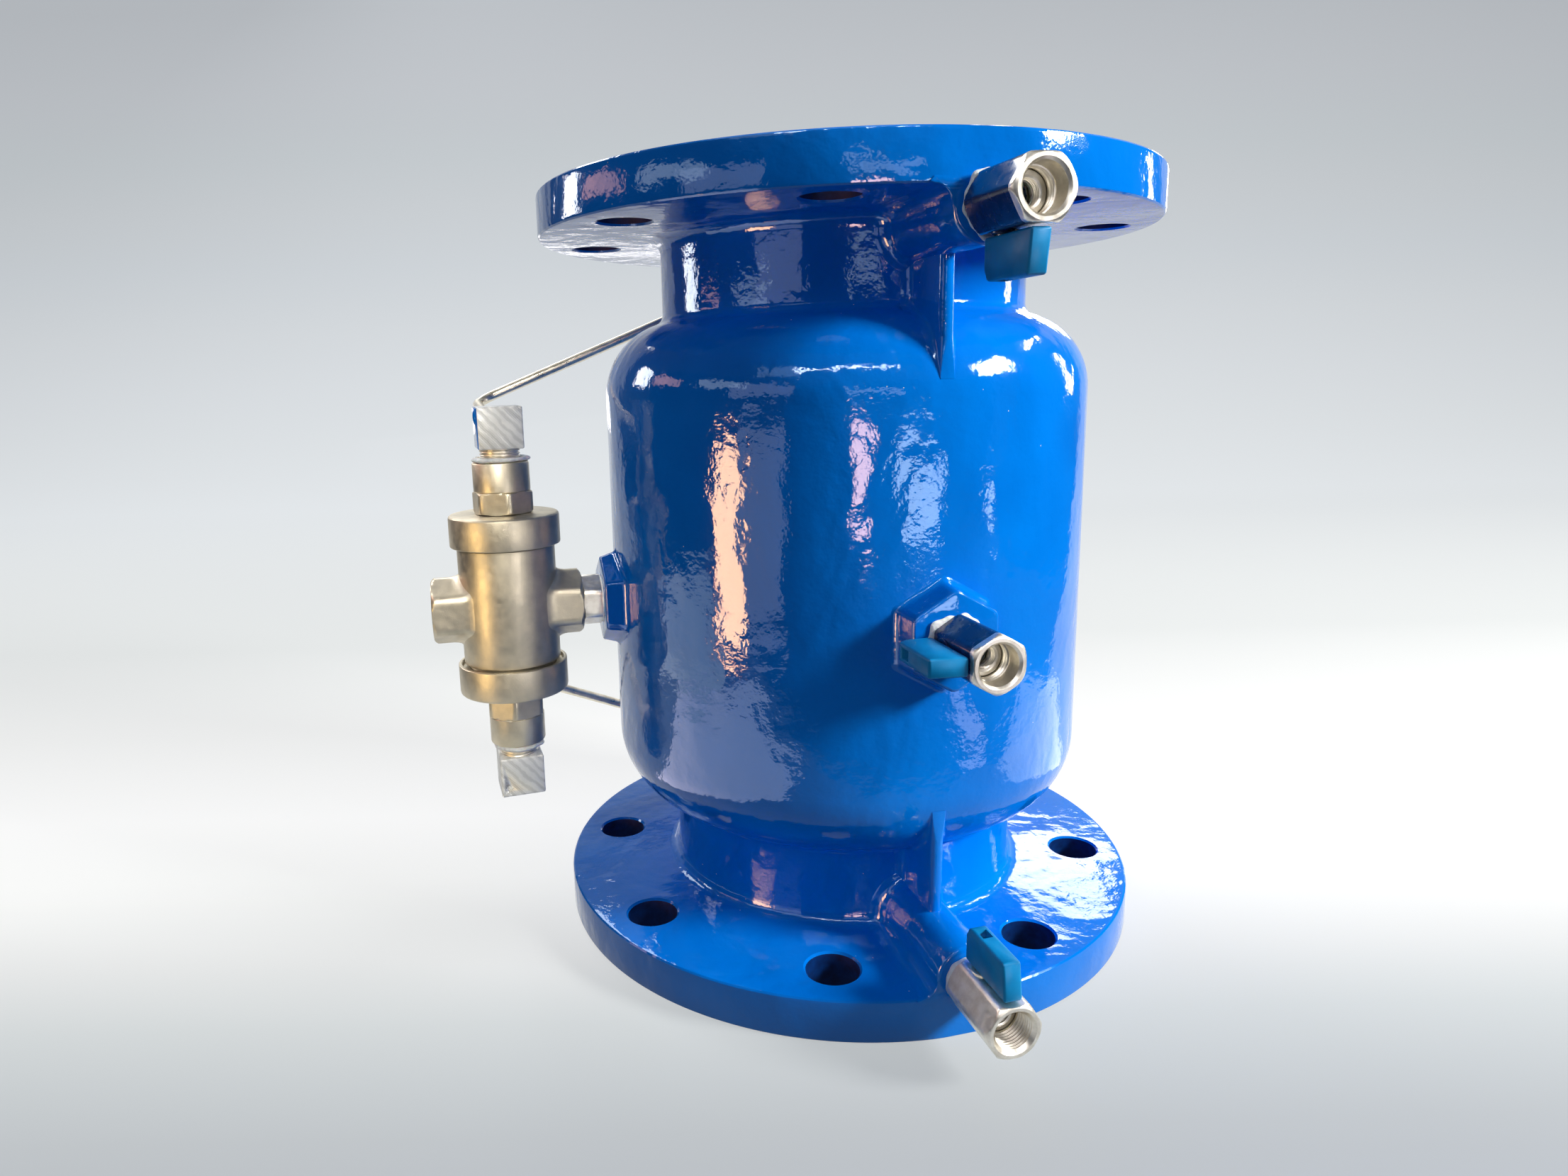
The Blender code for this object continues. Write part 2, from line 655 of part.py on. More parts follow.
def check_valve(name, axis, seat_z, gasket_on_top):
    """A cartridge: seat ring, gasket, cage with guide bush, and the sprung disc."""
    frame = empty(name + "_frame", axis, (0, 0, seat_z))
    ring_low, ring_high = LIP_H, SEAT_TO_RING_TOP
    outer_r = BORE_R - 2 * CLEAR
    lip_out = LIP_R + LIP_W
    turned(name + "_seat_ring", [
        (LIP_R + 3, ring_high), (outer_r, ring_high), (outer_r, ring_low), (lip_out, ring_low),
        (lip_out, 0.5), (lip_out - 1, 0), (LIP_R, 0), (LIP_R, ring_high - 3)],
        frame, BRONZE, CHECK_STEPS)
    gasket_low = ring_high + CLEAR if gasket_on_top else ring_low - CLEAR - GASKET_T
    turned(name + "_gasket", ring(LEDGE_R + CLEAR, outer_r, gasket_low,
                                  gasket_low + GASKET_T), frame, RUBBER, CHECK_STEPS)
    cage(name, frame)
    disc(name, frame)


def cage(name, frame):
    """Ring under the seat, legs, and a spider that carries the bush."""
    outer = LEDGE_R - 2 * CLEAR
    inner = outer - CAGE_WALL
    top = LIP_H - CLEAR
    collar_low = LIP_H - 6
    hub_low = -CAGE_LENGTH
    leg_low = hub_low + 2
    rim_in = LIP_R + LIP_W + 1.5
    bush_out = CHECK_STEM_R + BUSH_T
    hub_top = hub_low + HUB_H
    body = turned(name + "_cage", [
        (rim_in, top), (outer, top), (outer, leg_low + 1), (inner, leg_low + 1),
        (inner, collar_low), (rim_in, collar_low)], frame, STEEL, CHECK_STEPS)
    for i in range(4):
        turn = (0, 0, math.pi * (i / 2 + 0.25))
        window = box(f"{name}_window_{i}", (LEG_W / 2, LEG_W / 2, leg_low - 5),
                     (outer + 5, outer + 5, collar_low), frame, rotation=turn)
        cut(body, window)
    for i in range(2):
        turn = (0, 0, math.pi * (i / 2 + 0.25))
        join(body, box(f"{name}_arm_{i}", (-inner - 1, -LEG_W / 2 + 1, leg_low),
                       (inner + 1, LEG_W / 2 - 1, leg_low + ARM_H), frame, rotation=turn))
    join(body, turned(name + "_hub", rod(HUB_R, hub_low, hub_top), frame, steps=CHECK_STEPS))
    cut(body, turned(name + "_hub_bore", rod(bush_out + CLEAR, hub_low - 5, hub_top + 5), frame,
                     steps=CHECK_STEPS))
    turned(name + "_bush", ring(CHECK_STEM_R + BUSH_PLAY, bush_out, hub_low, hub_top), frame,
           BRONZE, CHECK_STEPS)


def disc(name, frame):
    """Disc with stem, its rubber seal, clamp plate, nut and spring, closed on the seat."""
    seal_top = -CLEAR
    seal_low = seal_top - SEAL_T
    face = seal_low - CLEAR
    back = face - DISC_T
    spigot_r = SEAL_INNER_R - CLEAR
    locating_r = CHECK_SPRING_R - CHECK_WIRE_R - 2.5
    stem_low = -CAGE_LENGTH - 7
    plate_low = CLEAR
    plate_top = plate_low + PLATE_T
    nut_low = plate_top + CLEAR
    nut_top = nut_low + STEM_NUT_H
    turned(name + "_disc", [
        (0, nut_top + 1.5), (STUD_R, nut_top + 1.5), (STUD_R, 0), (spigot_r, 0),
        (spigot_r, face), (DISC_R, face), (DISC_R, back + 3), (DISC_R - 3, back),
        (locating_r, back), (locating_r, back - 4), (CHECK_STEM_R, back - 4),
        (CHECK_STEM_R, stem_low), (0, stem_low)], frame, STEEL, CHECK_STEPS)
    turned(name + "_disc_seal", ring(SEAL_INNER_R, DISC_R - 0.5, seal_low, seal_top),
           frame, RUBBER, CHECK_STEPS)
    turned(name + "_seal_plate", [
        (STUD_R + CLEAR, plate_top), (LIP_R - 4, plate_top), (LIP_R - 3, plate_top - 1),
        (LIP_R - 3, plate_low), (STUD_R + CLEAR, plate_low)], frame, STEEL, CHECK_STEPS)
    nut = hexagon(name + "_stem_nut", STEM_NUT_AF, nut_low, nut_top, frame, STEEL)
    cut(nut, turned(name + "_nut_bore", rod(STUD_R + CLEAR, nut_low - 1, nut_top + 1),
                    frame))
    spring_low = -CAGE_LENGTH + 2 + ARM_H
    wire(name + "_spring", coil(CHECK_SPRING_R, CHECK_WIRE_R, spring_low, back, CHECK_TURNS),
         CHECK_WIRE_R, frame, STEEL, sides=1)


# Relief valve


def relief_valve(frame, nipple_frame):
    """Casting with its ports and globe-type seat, two caps, and the moving pieces."""
    high = TOP_SHOULDER + SPIGOT_H
    low = -LOW_SHOULDER - SPIGOT_H
    body = turned("relief_body", [
        (0, high), (SPIGOT_R, high), (SPIGOT_R, TOP_SHOULDER), (RELIEF_R, TOP_SHOULDER),
        (RELIEF_R, -LOW_SHOULDER), (SPIGOT_R, -LOW_SHOULDER), (SPIGOT_R, low), (0, low)],
        frame, CAST_STEEL, CHECK_STEPS)
    ports = hexagon("relief_ports", PORT_AF, -PORT_INNER_REACH, PORT_REACH, frame,
                    rotation=ALONG_MINUS_X)
    join(body, ports)
    web_low = WEB_TOP - WEB_T
    rim_top = WEB_TOP + SEAT_RIM_H
    rim_out = SEAT_HOLE_R + SEAT_RIM_W
    bore = [(0, high + 1), (UPPER_BORE_R, high + 1), (UPPER_BORE_R, SPRING_LEDGE),
            (CHAMBER_BORE_R, SPRING_LEDGE), (CHAMBER_BORE_R, WEB_TOP), (rim_out, WEB_TOP),
            (rim_out, rim_top), (SEAT_HOLE_R, rim_top), (SEAT_HOLE_R, web_low),
            (LOWER_BORE_R, web_low), (LOWER_BORE_R, low - 1), (0, low - 1)]
    cut(body, turned("relief_bore", bore, frame, steps=CHECK_STEPS))
    for name, reach, turn, rise in (("drain", PORT_REACH, ALONG_MINUS_X, PASSAGE_RISE),
                                    ("relief_inlet", PORT_INNER_REACH, ALONG_X, -PASSAGE_RISE)):
        floor = reach - PORT_BORE_DEPTH
        cut(body, turned(name + "_bore", rod(PORT_BORE_R, floor, reach + 1), frame, rotation=turn),
            turned(name + "_passage", rod(PASSAGE_R, SEAT_HOLE_R, floor + 1), frame,
                   location=(0, 0, rise), rotation=turn))
    caps(frame)
    relief_piston(frame)
    nipple(nipple_frame)


def caps(frame):
    """Screwed caps over the body's spigots, with the adapters' threads in their middle."""
    skirt = CAP_H - CAP_WALL
    inner = SPIGOT_R + CLEAR
    hole = ADAPTER_SPIGOT_R + CLEAR
    edge = 1.2
    profile = [(hole, CAP_H), (CAP_R - edge, CAP_H), (CAP_R, CAP_H - edge), (CAP_R, edge / 2),
               (CAP_R - edge / 2, 0), (inner, 0), (inner, skirt), (hole, skirt)]
    turned("relief_upper_cap", profile, frame, CAST_STEEL, CHECK_STEPS,
           location=(0, 0, TOP_SHOULDER + CLEAR))
    turned("relief_lower_cap", profile, frame, CAST_STEEL, CHECK_STEPS,
           location=(0, 0, -LOW_SHOULDER - CLEAR), rotation=UPSIDE_DOWN)


def relief_piston(frame):
    """Piston held up by its spring, so that the drain stands open without pressure."""
    stop = TOP_SHOULDER + CLEAR + CAP_H - CAP_WALL
    top = stop - CLEAR
    head_r = UPPER_BORE_R - CLEAR
    head_top = top - 0.8
    head_low = head_top - PISTON_T
    groove_r = head_r - 2 * RING_R - 0.1
    groove = (head_low + head_top) / 2
    half = RING_R + 0.15
    seal_low = WEB_TOP + SEAT_RIM_H + RELIEF_TRAVEL + 0.2
    seal_top = seal_low + RELIEF_SEAL_T
    disc_low = seal_top + CLEAR
    stem_low = WEB_TOP - WEB_T - 2 * PISTON_T - RELIEF_TRAVEL - 6
    turned("relief_piston", [
        (0, top), (head_r - 4, top), (head_r - 4, head_top), (head_r, head_top),
        (head_r, groove + half), (groove_r, groove + half), (groove_r, groove - half),
        (head_r, groove - half), (head_r, head_low), (PISTON_STEM_R, head_low),
        (PISTON_STEM_R, disc_low + RELIEF_DISC_T), (RELIEF_DISC_R, disc_low + RELIEF_DISC_T),
        (RELIEF_DISC_R, disc_low), (PISTON_STEM_R, disc_low), (PISTON_STEM_R, stem_low),
        (0, stem_low)], frame, STEEL, CHECK_STEPS)
    turned("relief_disc_seal", ring(PISTON_STEM_R + CLEAR, RELIEF_DISC_R - 0.5, seal_low,
                                    seal_top), frame, RUBBER)
    turned("relief_upper_ring", arc((head_r - RING_R, groove), RING_R, UP, -INWARD, 3), frame,
           RUBBER, CHECK_STEPS)

    # Lower piston on the stem's end
    low_r = LOWER_BORE_R - CLEAR
    low_top = stem_low + PISTON_T + 2
    low_low = low_top - PISTON_T
    low_groove_r = low_r - 2 * RING_R - 0.1
    middle = (low_top + low_low) / 2
    turned("relief_lower_piston", [
        (PISTON_STEM_R + CLEAR, low_top), (low_r, low_top), (low_r, middle + half),
        (low_groove_r, middle + half), (low_groove_r, middle - half), (low_r, middle - half),
        (low_r, low_low), (PISTON_STEM_R + CLEAR, low_low)], frame, STEEL, CHECK_STEPS)
    turned("relief_lower_ring", arc((low_r - RING_R, middle), RING_R, UP, -INWARD, 3), frame,
           RUBBER, CHECK_STEPS)
    wire("relief_spring", coil((CHAMBER_BORE_R + UPPER_BORE_R) / 2, RELIEF_WIRE_R, SPRING_LEDGE,
                               head_low, RELIEF_TURNS),
         RELIEF_WIRE_R, frame, STEEL, sides=1)


def nipple(frame):
    """Threaded nipple between the casting's pad and the relief valve. Local Z runs out of
    the casting, and z=0 is the pad's face."""
    outer = PORT_BORE_R - CLEAR
    body = turned("relief_nipple", rod(outer, -NIPPLE_ENGAGE, NIPPLE_GAP + NIPPLE_ENGAGE), frame,
                  STEEL)
    join(body, hexagon("nipple_hex", NIPPLE_AF, CLEAR, NIPPLE_GAP - CLEAR, frame))
    cut(body, turned("nipple_bore", rod(NIPPLE_BORE_R, -2 * NIPPLE_ENGAGE,
                                        NIPPLE_GAP + 2 * NIPPLE_ENGAGE), frame))


# Adapters, elbows and sense lines


def port_fittings(which, frame, hex_h):
    """Adapter, elbow block and tube nut on one end of the relief valve. Local Z points away
    from the valve, z=0 is the cap's outer face, and local X is +X or -X of the object."""
    hex_low = CLEAR
    hex_high = hex_low + hex_h
    sleeve_top = hex_high + SLEEVE_H
    bore_r = ELBOW_NECK_R + CLEAR
    adapter = hexagon(which + "_adapter", ADAPTER_AF, hex_low, hex_high, frame, CAST_STEEL,
                      turn=ADAPTER_TURN)
    join(adapter,
         turned(which + "_sleeve", rod(SLEEVE_R, hex_high - 1, sleeve_top), frame, steps=CHECK_STEPS),
         turned(which + "_spigot", rod(ADAPTER_SPIGOT_R, -CAP_WALL, hex_low + 1), frame))
    cut(adapter, turned(which + "_adapter_bore", [
        (0, sleeve_top + 1), (bore_r, sleeve_top + 1), (bore_r, hex_high), (WATERWAY_R, hex_high),
        (WATERWAY_R, -CAP_WALL - 1), (0, -CAP_WALL - 1)], frame))

    block_low = sleeve_top + ELBOW_NECK_H
    half = ELBOW_W / 2
    port_z = block_low + ELBOW_H / 2
    elbow = box(which + "_elbow", (-half, -half, block_low), (half, half, block_low + ELBOW_H),
                frame, ALUMINIUM)
    join(elbow, turned(which + "_elbow_neck", rod(ELBOW_NECK_R, hex_high + 2, block_low + 1),
                       frame))
    nose = NUT_NOSE_R + CLEAR
    side = 1 if which == "upper" else -1
    turn = (-side * math.pi / 2, 0, 0)
    cut(elbow, turned(which + "_elbow_bore", rod(WATERWAY_R, hex_high, port_z), frame),
        turned(which + "_elbow_port", rod(nose, 0, half + 1), frame, location=(0, 0, port_z),
               rotation=turn))

    nut = hexagon(which + "_tube_nut", NUT_AF, half + CLEAR, half + CLEAR + NUT_H, frame,
                  STEEL, location=(0, 0, port_z), rotation=turn)
    join(nut, turned(which + "_nut_nose", rod(NUT_NOSE_R, half - NUT_NOSE_H, half + 1), frame,
                     location=(0, 0, port_z), rotation=turn))
    cut(nut, turned(which + "_nut_bore", rod(TUBE_R + CLEAR, 0, half + 2 * NUT_H), frame,
                    location=(0, 0, port_z), rotation=turn))
    return port_z


def connector(which, frame):
    """Straight fitting on a neck boss; local Z points away from the casting's axis."""
    hex_low = CLEAR
    hex_high = hex_low + CONNECTOR_HEX_H
    nut_high = hex_high + NUT_H
    tail_low = BORE_R - NECK_R
    body = hexagon(which + "_connector", CONNECTOR_AF, hex_low, hex_high, frame, STEEL)
    join(body, turned(which + "_connector_tail", rod(CONNECTOR_TAIL_R, tail_low, hex_low + 1),
                      frame),
         hexagon(which + "_connector_nut", NUT_AF, hex_high - 1, nut_high, frame))
    cut(body, turned(which + "_connector_bore", [
        (0, nut_high + 1), (TUBE_R + CLEAR, nut_high + 1), (TUBE_R + CLEAR, hex_low),
        (TUBE_R - 0.7, hex_low), (TUBE_R - 0.7, tail_low - 1), (0, tail_low - 1)], frame))


def sense_line(which, axis, port, backward, radial, height):
    """Bent tube from an elbow's nut, back past the barrel and round to the neck."""
    start = port + backward * (ELBOW_W / 2 - NUT_NOSE_H + 1)
    straight = port + backward * (ELBOW_W / 2 + 2 * NUT_H)
    rise = TUBE_RISE if which == "upper" else 2 * TUBE_RISE
    back = Vector((-RELIEF_X - TUBE_SPREAD, TUBE_SETBACK, port.z + rise))
    boss_face = NECK_R + CONNECTOR_BOSS_H
    inner = radial * (boss_face + CONNECTOR_HEX_H / 2)
    outer = radial * (boss_face + CONNECTOR_HEX_H + NUT_H + 2.2 * TUBE_BEND_R)
    level = Vector((0, 0, height))
    route = bent([start, straight, back, outer + level, inner + level], TUBE_BEND_R)
    wire(which + "_sense_tube", route, TUBE_R, axis, STEEL, sides=2)


def build():
    axis = empty("valve_axis", None, (AXIS_X, AXIS_Y, 0))
    rim = FLANGE_R - RIM_FLAT + FLANGE_STANDOFF
    pad = BARREL_R + COCK_PAD_H + PAD_STANDOFF
    through_neck = rim - BORE_R + WALL
    through_barrel = pad - BARREL_R + 2 * WALL
    cocks = {}
    for name, root, stem, wall in (
            ("top_cock", (0, -rim, HEIGHT - COCK_DEPTH), (0, 0, -1), through_neck),
            ("mid_cock", (0, -pad, PAD_Z), (-1, 0, 0), through_barrel),
            ("bottom_cock", (0, -rim, COCK_DEPTH), (0, 0, 1), through_neck)):
        cocks[name] = (test_cock(name, axis, root, stem), wall)

    angle = math.radians(CONNECTOR_ANGLE)
    radial = Vector((math.cos(angle), math.sin(angle), 0))
    heights = {"upper": HEIGHT - CONNECTOR_DEPTH, "lower": CONNECTOR_DEPTH}
    connectors = {}
    for which, height in heights.items():
        seat = radial * (NECK_R + CONNECTOR_BOSS_H) + Vector((0, 0, height))
        frame = empty(which + "_connector_frame", axis, seat, ((0, 0, 1), radial))
        connectors[which + "_connector"] = frame
        connector(which, frame)

    relief = empty("relief_frame", axis, (-RELIEF_X, 0, PAD_Z))
    nipple_frame = empty("nipple_frame", axis, (-BARREL_R - RELIEF_PAD_H, 0, PAD_Z),
                         ((0, 0, 1), (-1, 0, 0)))
    casting(axis, cocks, relief, connectors)
    relief_valve(relief, nipple_frame)
    check_valve("inlet_check", axis, INLET_SEAT_Z, False)
    check_valve("outlet_check", axis, OUTLET_SEAT_Z, True)

    ends = {"upper": (TOP_SHOULDER + CLEAR + CAP_H, (0, 0, 1), UPPER_HEX_H),
            "lower": (-LOW_SHOULDER - CLEAR - CAP_H, (0, 0, -1), LOWER_HEX_H)}
    backward = Vector((-TUBE_SPREAD, TUBE_SETBACK, 0)).normalized()
    sideways = (backward.y, -backward.x, 0)
    for which, (face, away, hex_h) in ends.items():
        frame = empty(which + "_port_frame", relief, (0, 0, face), (sideways, away))
        port_z = port_fittings(which, frame, hex_h)
        port = Vector((-RELIEF_X, 0, PAD_Z + face + away[2] * port_z))
        sense_line(which, axis, port, backward, radial, heights[which])


def shade():
    """Weld the doubled points that the Booleans leave, and smooth the round faces."""
    for part in PARTS.objects:
        if part.type == "MESH" and part.modifiers:
            weld = part.modifiers.new("weld", "WELD")
            weld.merge_threshold = WELD * MM
    bpy.context.view_layer.update()
    graph = bpy.context.evaluated_depsgraph_get()
    baked = {}
    for part in PARTS.objects:
        if part.type == "MESH":
            mesh = bpy.data.meshes.new_from_object(part.evaluated_get(graph))
            mesh.shade_smooth()
            mesh.set_sharp_from_angle(angle=math.radians(30))
            baked[part] = mesh
    for part, mesh in baked.items():
        mesh.name = part.name
        part.modifiers.clear()
        part.data = mesh


build()
shade()
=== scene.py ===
# %% [markdown]
# # Dressing a backflow preventer
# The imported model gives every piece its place. This script lays finer surfaces over it, gives
# them their real finishes, and sets up the photograph's camera, light and floor.

import json
import math

import bmesh
import bpy
import numpy as np
from mathutils import Matrix, Vector

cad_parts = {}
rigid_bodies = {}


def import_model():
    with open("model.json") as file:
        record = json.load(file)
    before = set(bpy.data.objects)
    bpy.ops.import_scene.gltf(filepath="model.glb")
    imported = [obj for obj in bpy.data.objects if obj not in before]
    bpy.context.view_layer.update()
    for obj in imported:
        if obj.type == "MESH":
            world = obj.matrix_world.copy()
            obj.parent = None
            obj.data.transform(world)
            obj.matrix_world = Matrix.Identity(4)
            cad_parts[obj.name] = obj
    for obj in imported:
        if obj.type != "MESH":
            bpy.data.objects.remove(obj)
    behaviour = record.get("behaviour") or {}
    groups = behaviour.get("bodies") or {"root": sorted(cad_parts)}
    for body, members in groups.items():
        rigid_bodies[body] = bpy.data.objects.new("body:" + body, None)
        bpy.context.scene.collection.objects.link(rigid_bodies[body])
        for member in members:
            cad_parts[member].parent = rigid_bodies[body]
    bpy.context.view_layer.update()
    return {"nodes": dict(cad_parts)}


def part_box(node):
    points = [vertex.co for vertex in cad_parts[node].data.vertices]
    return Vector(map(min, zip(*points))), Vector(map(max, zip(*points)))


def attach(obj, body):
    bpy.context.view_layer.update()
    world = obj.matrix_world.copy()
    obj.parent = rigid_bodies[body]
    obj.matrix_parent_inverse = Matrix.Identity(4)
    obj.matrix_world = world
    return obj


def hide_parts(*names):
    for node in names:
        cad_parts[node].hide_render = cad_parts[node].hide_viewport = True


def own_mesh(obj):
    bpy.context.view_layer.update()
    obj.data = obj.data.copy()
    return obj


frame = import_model()

# %% [markdown]
# ## Where things are
# On the real valve every size is taken from the bore's axis. One could type world positions,
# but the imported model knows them: the casting's box gives the axis, and its flanges the height.
# All sizes below are in millimetres from that axis, and one matrix per piece turns them into
# metres in the world.

# %% The valve's axis and the frames of its pieces
MM = 0.001
FLANGE_R = 142.5
FLANGE_T = 19.0
NECK_R = 86.0
BARREL_R = 114.5
BORE_R = 75.0
casting_low, casting_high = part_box("valve_body")
HEIGHT = casting_high[2] / MM
AXIS = Vector((casting_high[0] - FLANGE_R * MM, casting_high[1] - FLANGE_R * MM, 0))


def placed(at=(0, 0, 0), x_axis=(1, 0, 0), z_axis=(0, 0, 1)):
    """Matrix from millimetres on a piece's own axes to metres in the world."""
    x, z = Vector(x_axis).normalized(), Vector(z_axis).normalized()
    turn = Matrix((x, z.cross(x), z)).transposed().to_4x4()
    return Matrix.Translation(AXIS + Vector(at) * MM) @ turn @ Matrix.Scale(MM, 4)


VALVE = placed()
print("axis at", [round(v * 1000, 2) for v in AXIS], "height", round(HEIGHT, 1))

# %% [markdown]
# ## Skins over rings
# Nearly every piece is turned, or a hexagon that was turned at its ends. A Screw modifier turns
# a profile but can't make a hexagon, and a Boolean of both leaves ragged triangles. So each
# surface is a skin over rings of points: a ring's radius may change with the angle, which gives
# hexagons, chamfer curves and threads on one clean grid.

# %% Rings, skins and pieces
def ring(radius, height, steps=96):
    """One ring about local Z. Radius and height are numbers, or one value per step."""
    angle = 2 * np.pi * np.arange(steps) / steps
    radius = np.broadcast_to(np.asarray(radius, float), steps)
    height = np.broadcast_to(np.asarray(height, float), steps)
    return np.stack([radius * np.cos(angle), radius * np.sin(angle), height], axis=1)


def skin(rings, place=VALVE, loop=False, cap=False, material=0):
    """Join rings to a surface: a loop comes back to its first ring, a cap closes the last."""
    count, steps = len(rings), len(rings[0])
    points = np.concatenate(rings)
    faces = []
    for k in range(count if loop else count - 1):
        a, b = k * steps, (k + 1) % count * steps
        faces += [(a + i, b + i, b + (i + 1) % steps, a + (i + 1) % steps) for i in range(steps)]
    if cap:
        faces.append(tuple(range((count - 1) * steps, count * steps)))
    return points, faces, place, material


def turned(profile, place=VALVE, steps=96, ease=0.5, loop=False, material=0):
    """Turn a profile of (radius, height), or (radius, height, ease) for its own rounding."""
    rows = eased(profile, ease, loop)
    return skin([ring(r, z, steps) for r, z in rows], place, loop, material=material)


def eased(profile, ease, loop=False, count=3):
    """Round the corners of a profile with small curves."""
    corners = [np.array(p[:2], float) for p in profile]
    sizes = [p[2] if len(p) > 2 else ease for p in profile]
    last = len(corners) - 1
    rows = []
    for i, (corner, size) in enumerate(zip(corners, sizes)):
        if not loop and i in (0, last):
            rows.append(tuple(corner))
            continue
        before, after = corners[i - 1] - corner, corners[(i + 1) % len(corners)] - corner
        back = min(size, 0.45 * np.linalg.norm(before), 0.45 * np.linalg.norm(after))
        if back < 0.02:
            rows.append(tuple(corner))
            continue
        start = corner + before / np.linalg.norm(before) * back
        end = corner + after / np.linalg.norm(after) * back
        for t in np.linspace(0, 1, count + 1):
            rows.append(tuple((1 - t) ** 2 * start + 2 * t * (1 - t) * corner + t ** 2 * end))
    return rows


def piece(name, chunks, materials, body="casting", replaces=(), sharp=38):
    """One object from chunks of skin, riding on a body and standing for some CAD nodes."""
    work = bmesh.new()
    for points, faces, place, material in chunks:
        verts = [work.verts.new(place @ Vector(p)) for p in points]
        part = []
        for face in faces:
            if len({tuple(points[i].round(5)) for i in face}) > 2:
                part.append(work.faces.new([verts[i] for i in face]))
        for face in part:
            face.material_index = material
        bmesh.ops.remove_doubles(work, verts=verts, dist=1e-7)
        bmesh.ops.recalc_face_normals(work, faces=[f for f in part if f.is_valid])
    loose = [v for v in work.verts if not v.link_faces]
    bmesh.ops.delete(work, geom=loose, context="VERTS")
    mesh = bpy.data.meshes.new(name)
    work.to_mesh(mesh)
    work.free()
    made = bpy.data.objects.new(name, mesh)
    bpy.context.scene.collection.objects.link(made)
    for material in materials if isinstance(materials, (list, tuple)) else [materials]:
        mesh.materials.append(material)
    mesh.shade_smooth()
    mesh.set_sharp_from_angle(angle=math.radians(sharp))
    settle(made, body, replaces)
    return made


def settle(made, body, replaces=()):
    """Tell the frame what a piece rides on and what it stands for."""
    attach(made, body)
    if replaces:
        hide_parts(*([replaces] if isinstance(replaces, str) else replaces))


def softened(made, width=0.25, segments=2, angle=32):
    """Break a machined piece's edges with a small bevel."""
    bevel = made.modifiers.new("edge", "BEVEL")
    bevel.width = width * MM
    bevel.segments = segments
    bevel.limit_method = "ANGLE"
    bevel.angle_limit = math.radians(angle)
    bevel.harden_normals = True
    return made


def hexagon(flats, steps=96, turn=0.0, corner_ease=0.35):
    """Radius of a hexagon at each step, its corners on local X and eased a little."""
    angle = 2 * np.pi * np.arange(steps) / steps + math.radians(turn)
    folded = np.mod(angle, np.pi / 3) - np.pi / 6
    return np.minimum(flats / 2 / np.cos(folded), flats / math.sqrt(3) - corner_ease)


print("skin helpers ready")

# %% [markdown]
# ## Cutting
# Holes are cut with a Boolean. Its exact solver is slower than the fast one, but it leaves no
# stray faces, and the result is kept as a mesh so that nothing is left to work out later.

# %% Carving with closed cutters
def carve(made, cutters, sharp=35):
    """Cut closed skins out of a piece and keep the result as its mesh."""
    work = bmesh.new()
    for points, faces, place, _ in cutters:
        verts = [work.verts.new(place @ Vector(p)) for p in points]
        part = [work.faces.new([verts[i] for i in face]) for face in faces]
        bmesh.ops.recalc_face_normals(work, faces=part)
    mesh = bpy.data.meshes.new("cutter")
    work.to_mesh(mesh)
    work.free()
    cutter = bpy.data.objects.new("cutter", mesh)
    bpy.context.scene.collection.objects.link(cutter)
    cut = made.modifiers.new("cut", "BOOLEAN")
    cut.operation = "DIFFERENCE"
    cut.solver = "EXACT"
    cut.object = cutter
    bpy.context.view_layer.update()
    graph = bpy.context.evaluated_depsgraph_get()
    result = bpy.data.meshes.new_from_object(made.evaluated_get(graph))
    made.modifiers.clear()
    made.data = result
    result.shade_smooth()
    result.set_sharp_from_angle(angle=math.radians(sharp))
    bpy.data.objects.remove(cutter, do_unlink=True)
    return made


def block(low, high, place):
    """A closed box between two corners on a piece's axes."""
    points = np.array([(x, y, z) for x in (low[0], high[0]) for y in (low[1], high[1])
                       for z in (low[2], high[2])], float)
    faces = [(0, 1, 3, 2), (4, 6, 7, 5), (0, 4, 5, 1), (2, 3, 7, 6), (0, 2, 6, 4), (1, 5, 7, 3)]
    return points, faces, place, 0


print("cutting helpers ready")

# %% [markdown]
# ## Finishes
# Each finish is a few noises mixed into colour, roughness and bump. Image textures would show
# more, but they would tie the part to one picture, so all of it is worked out from the object's
# own coordinates. The helper below keeps each recipe to a few lines.

# %% A small kit for node materials
# A wave texture of scale 1 repeats after this length.
BAND_PITCH = 0.314


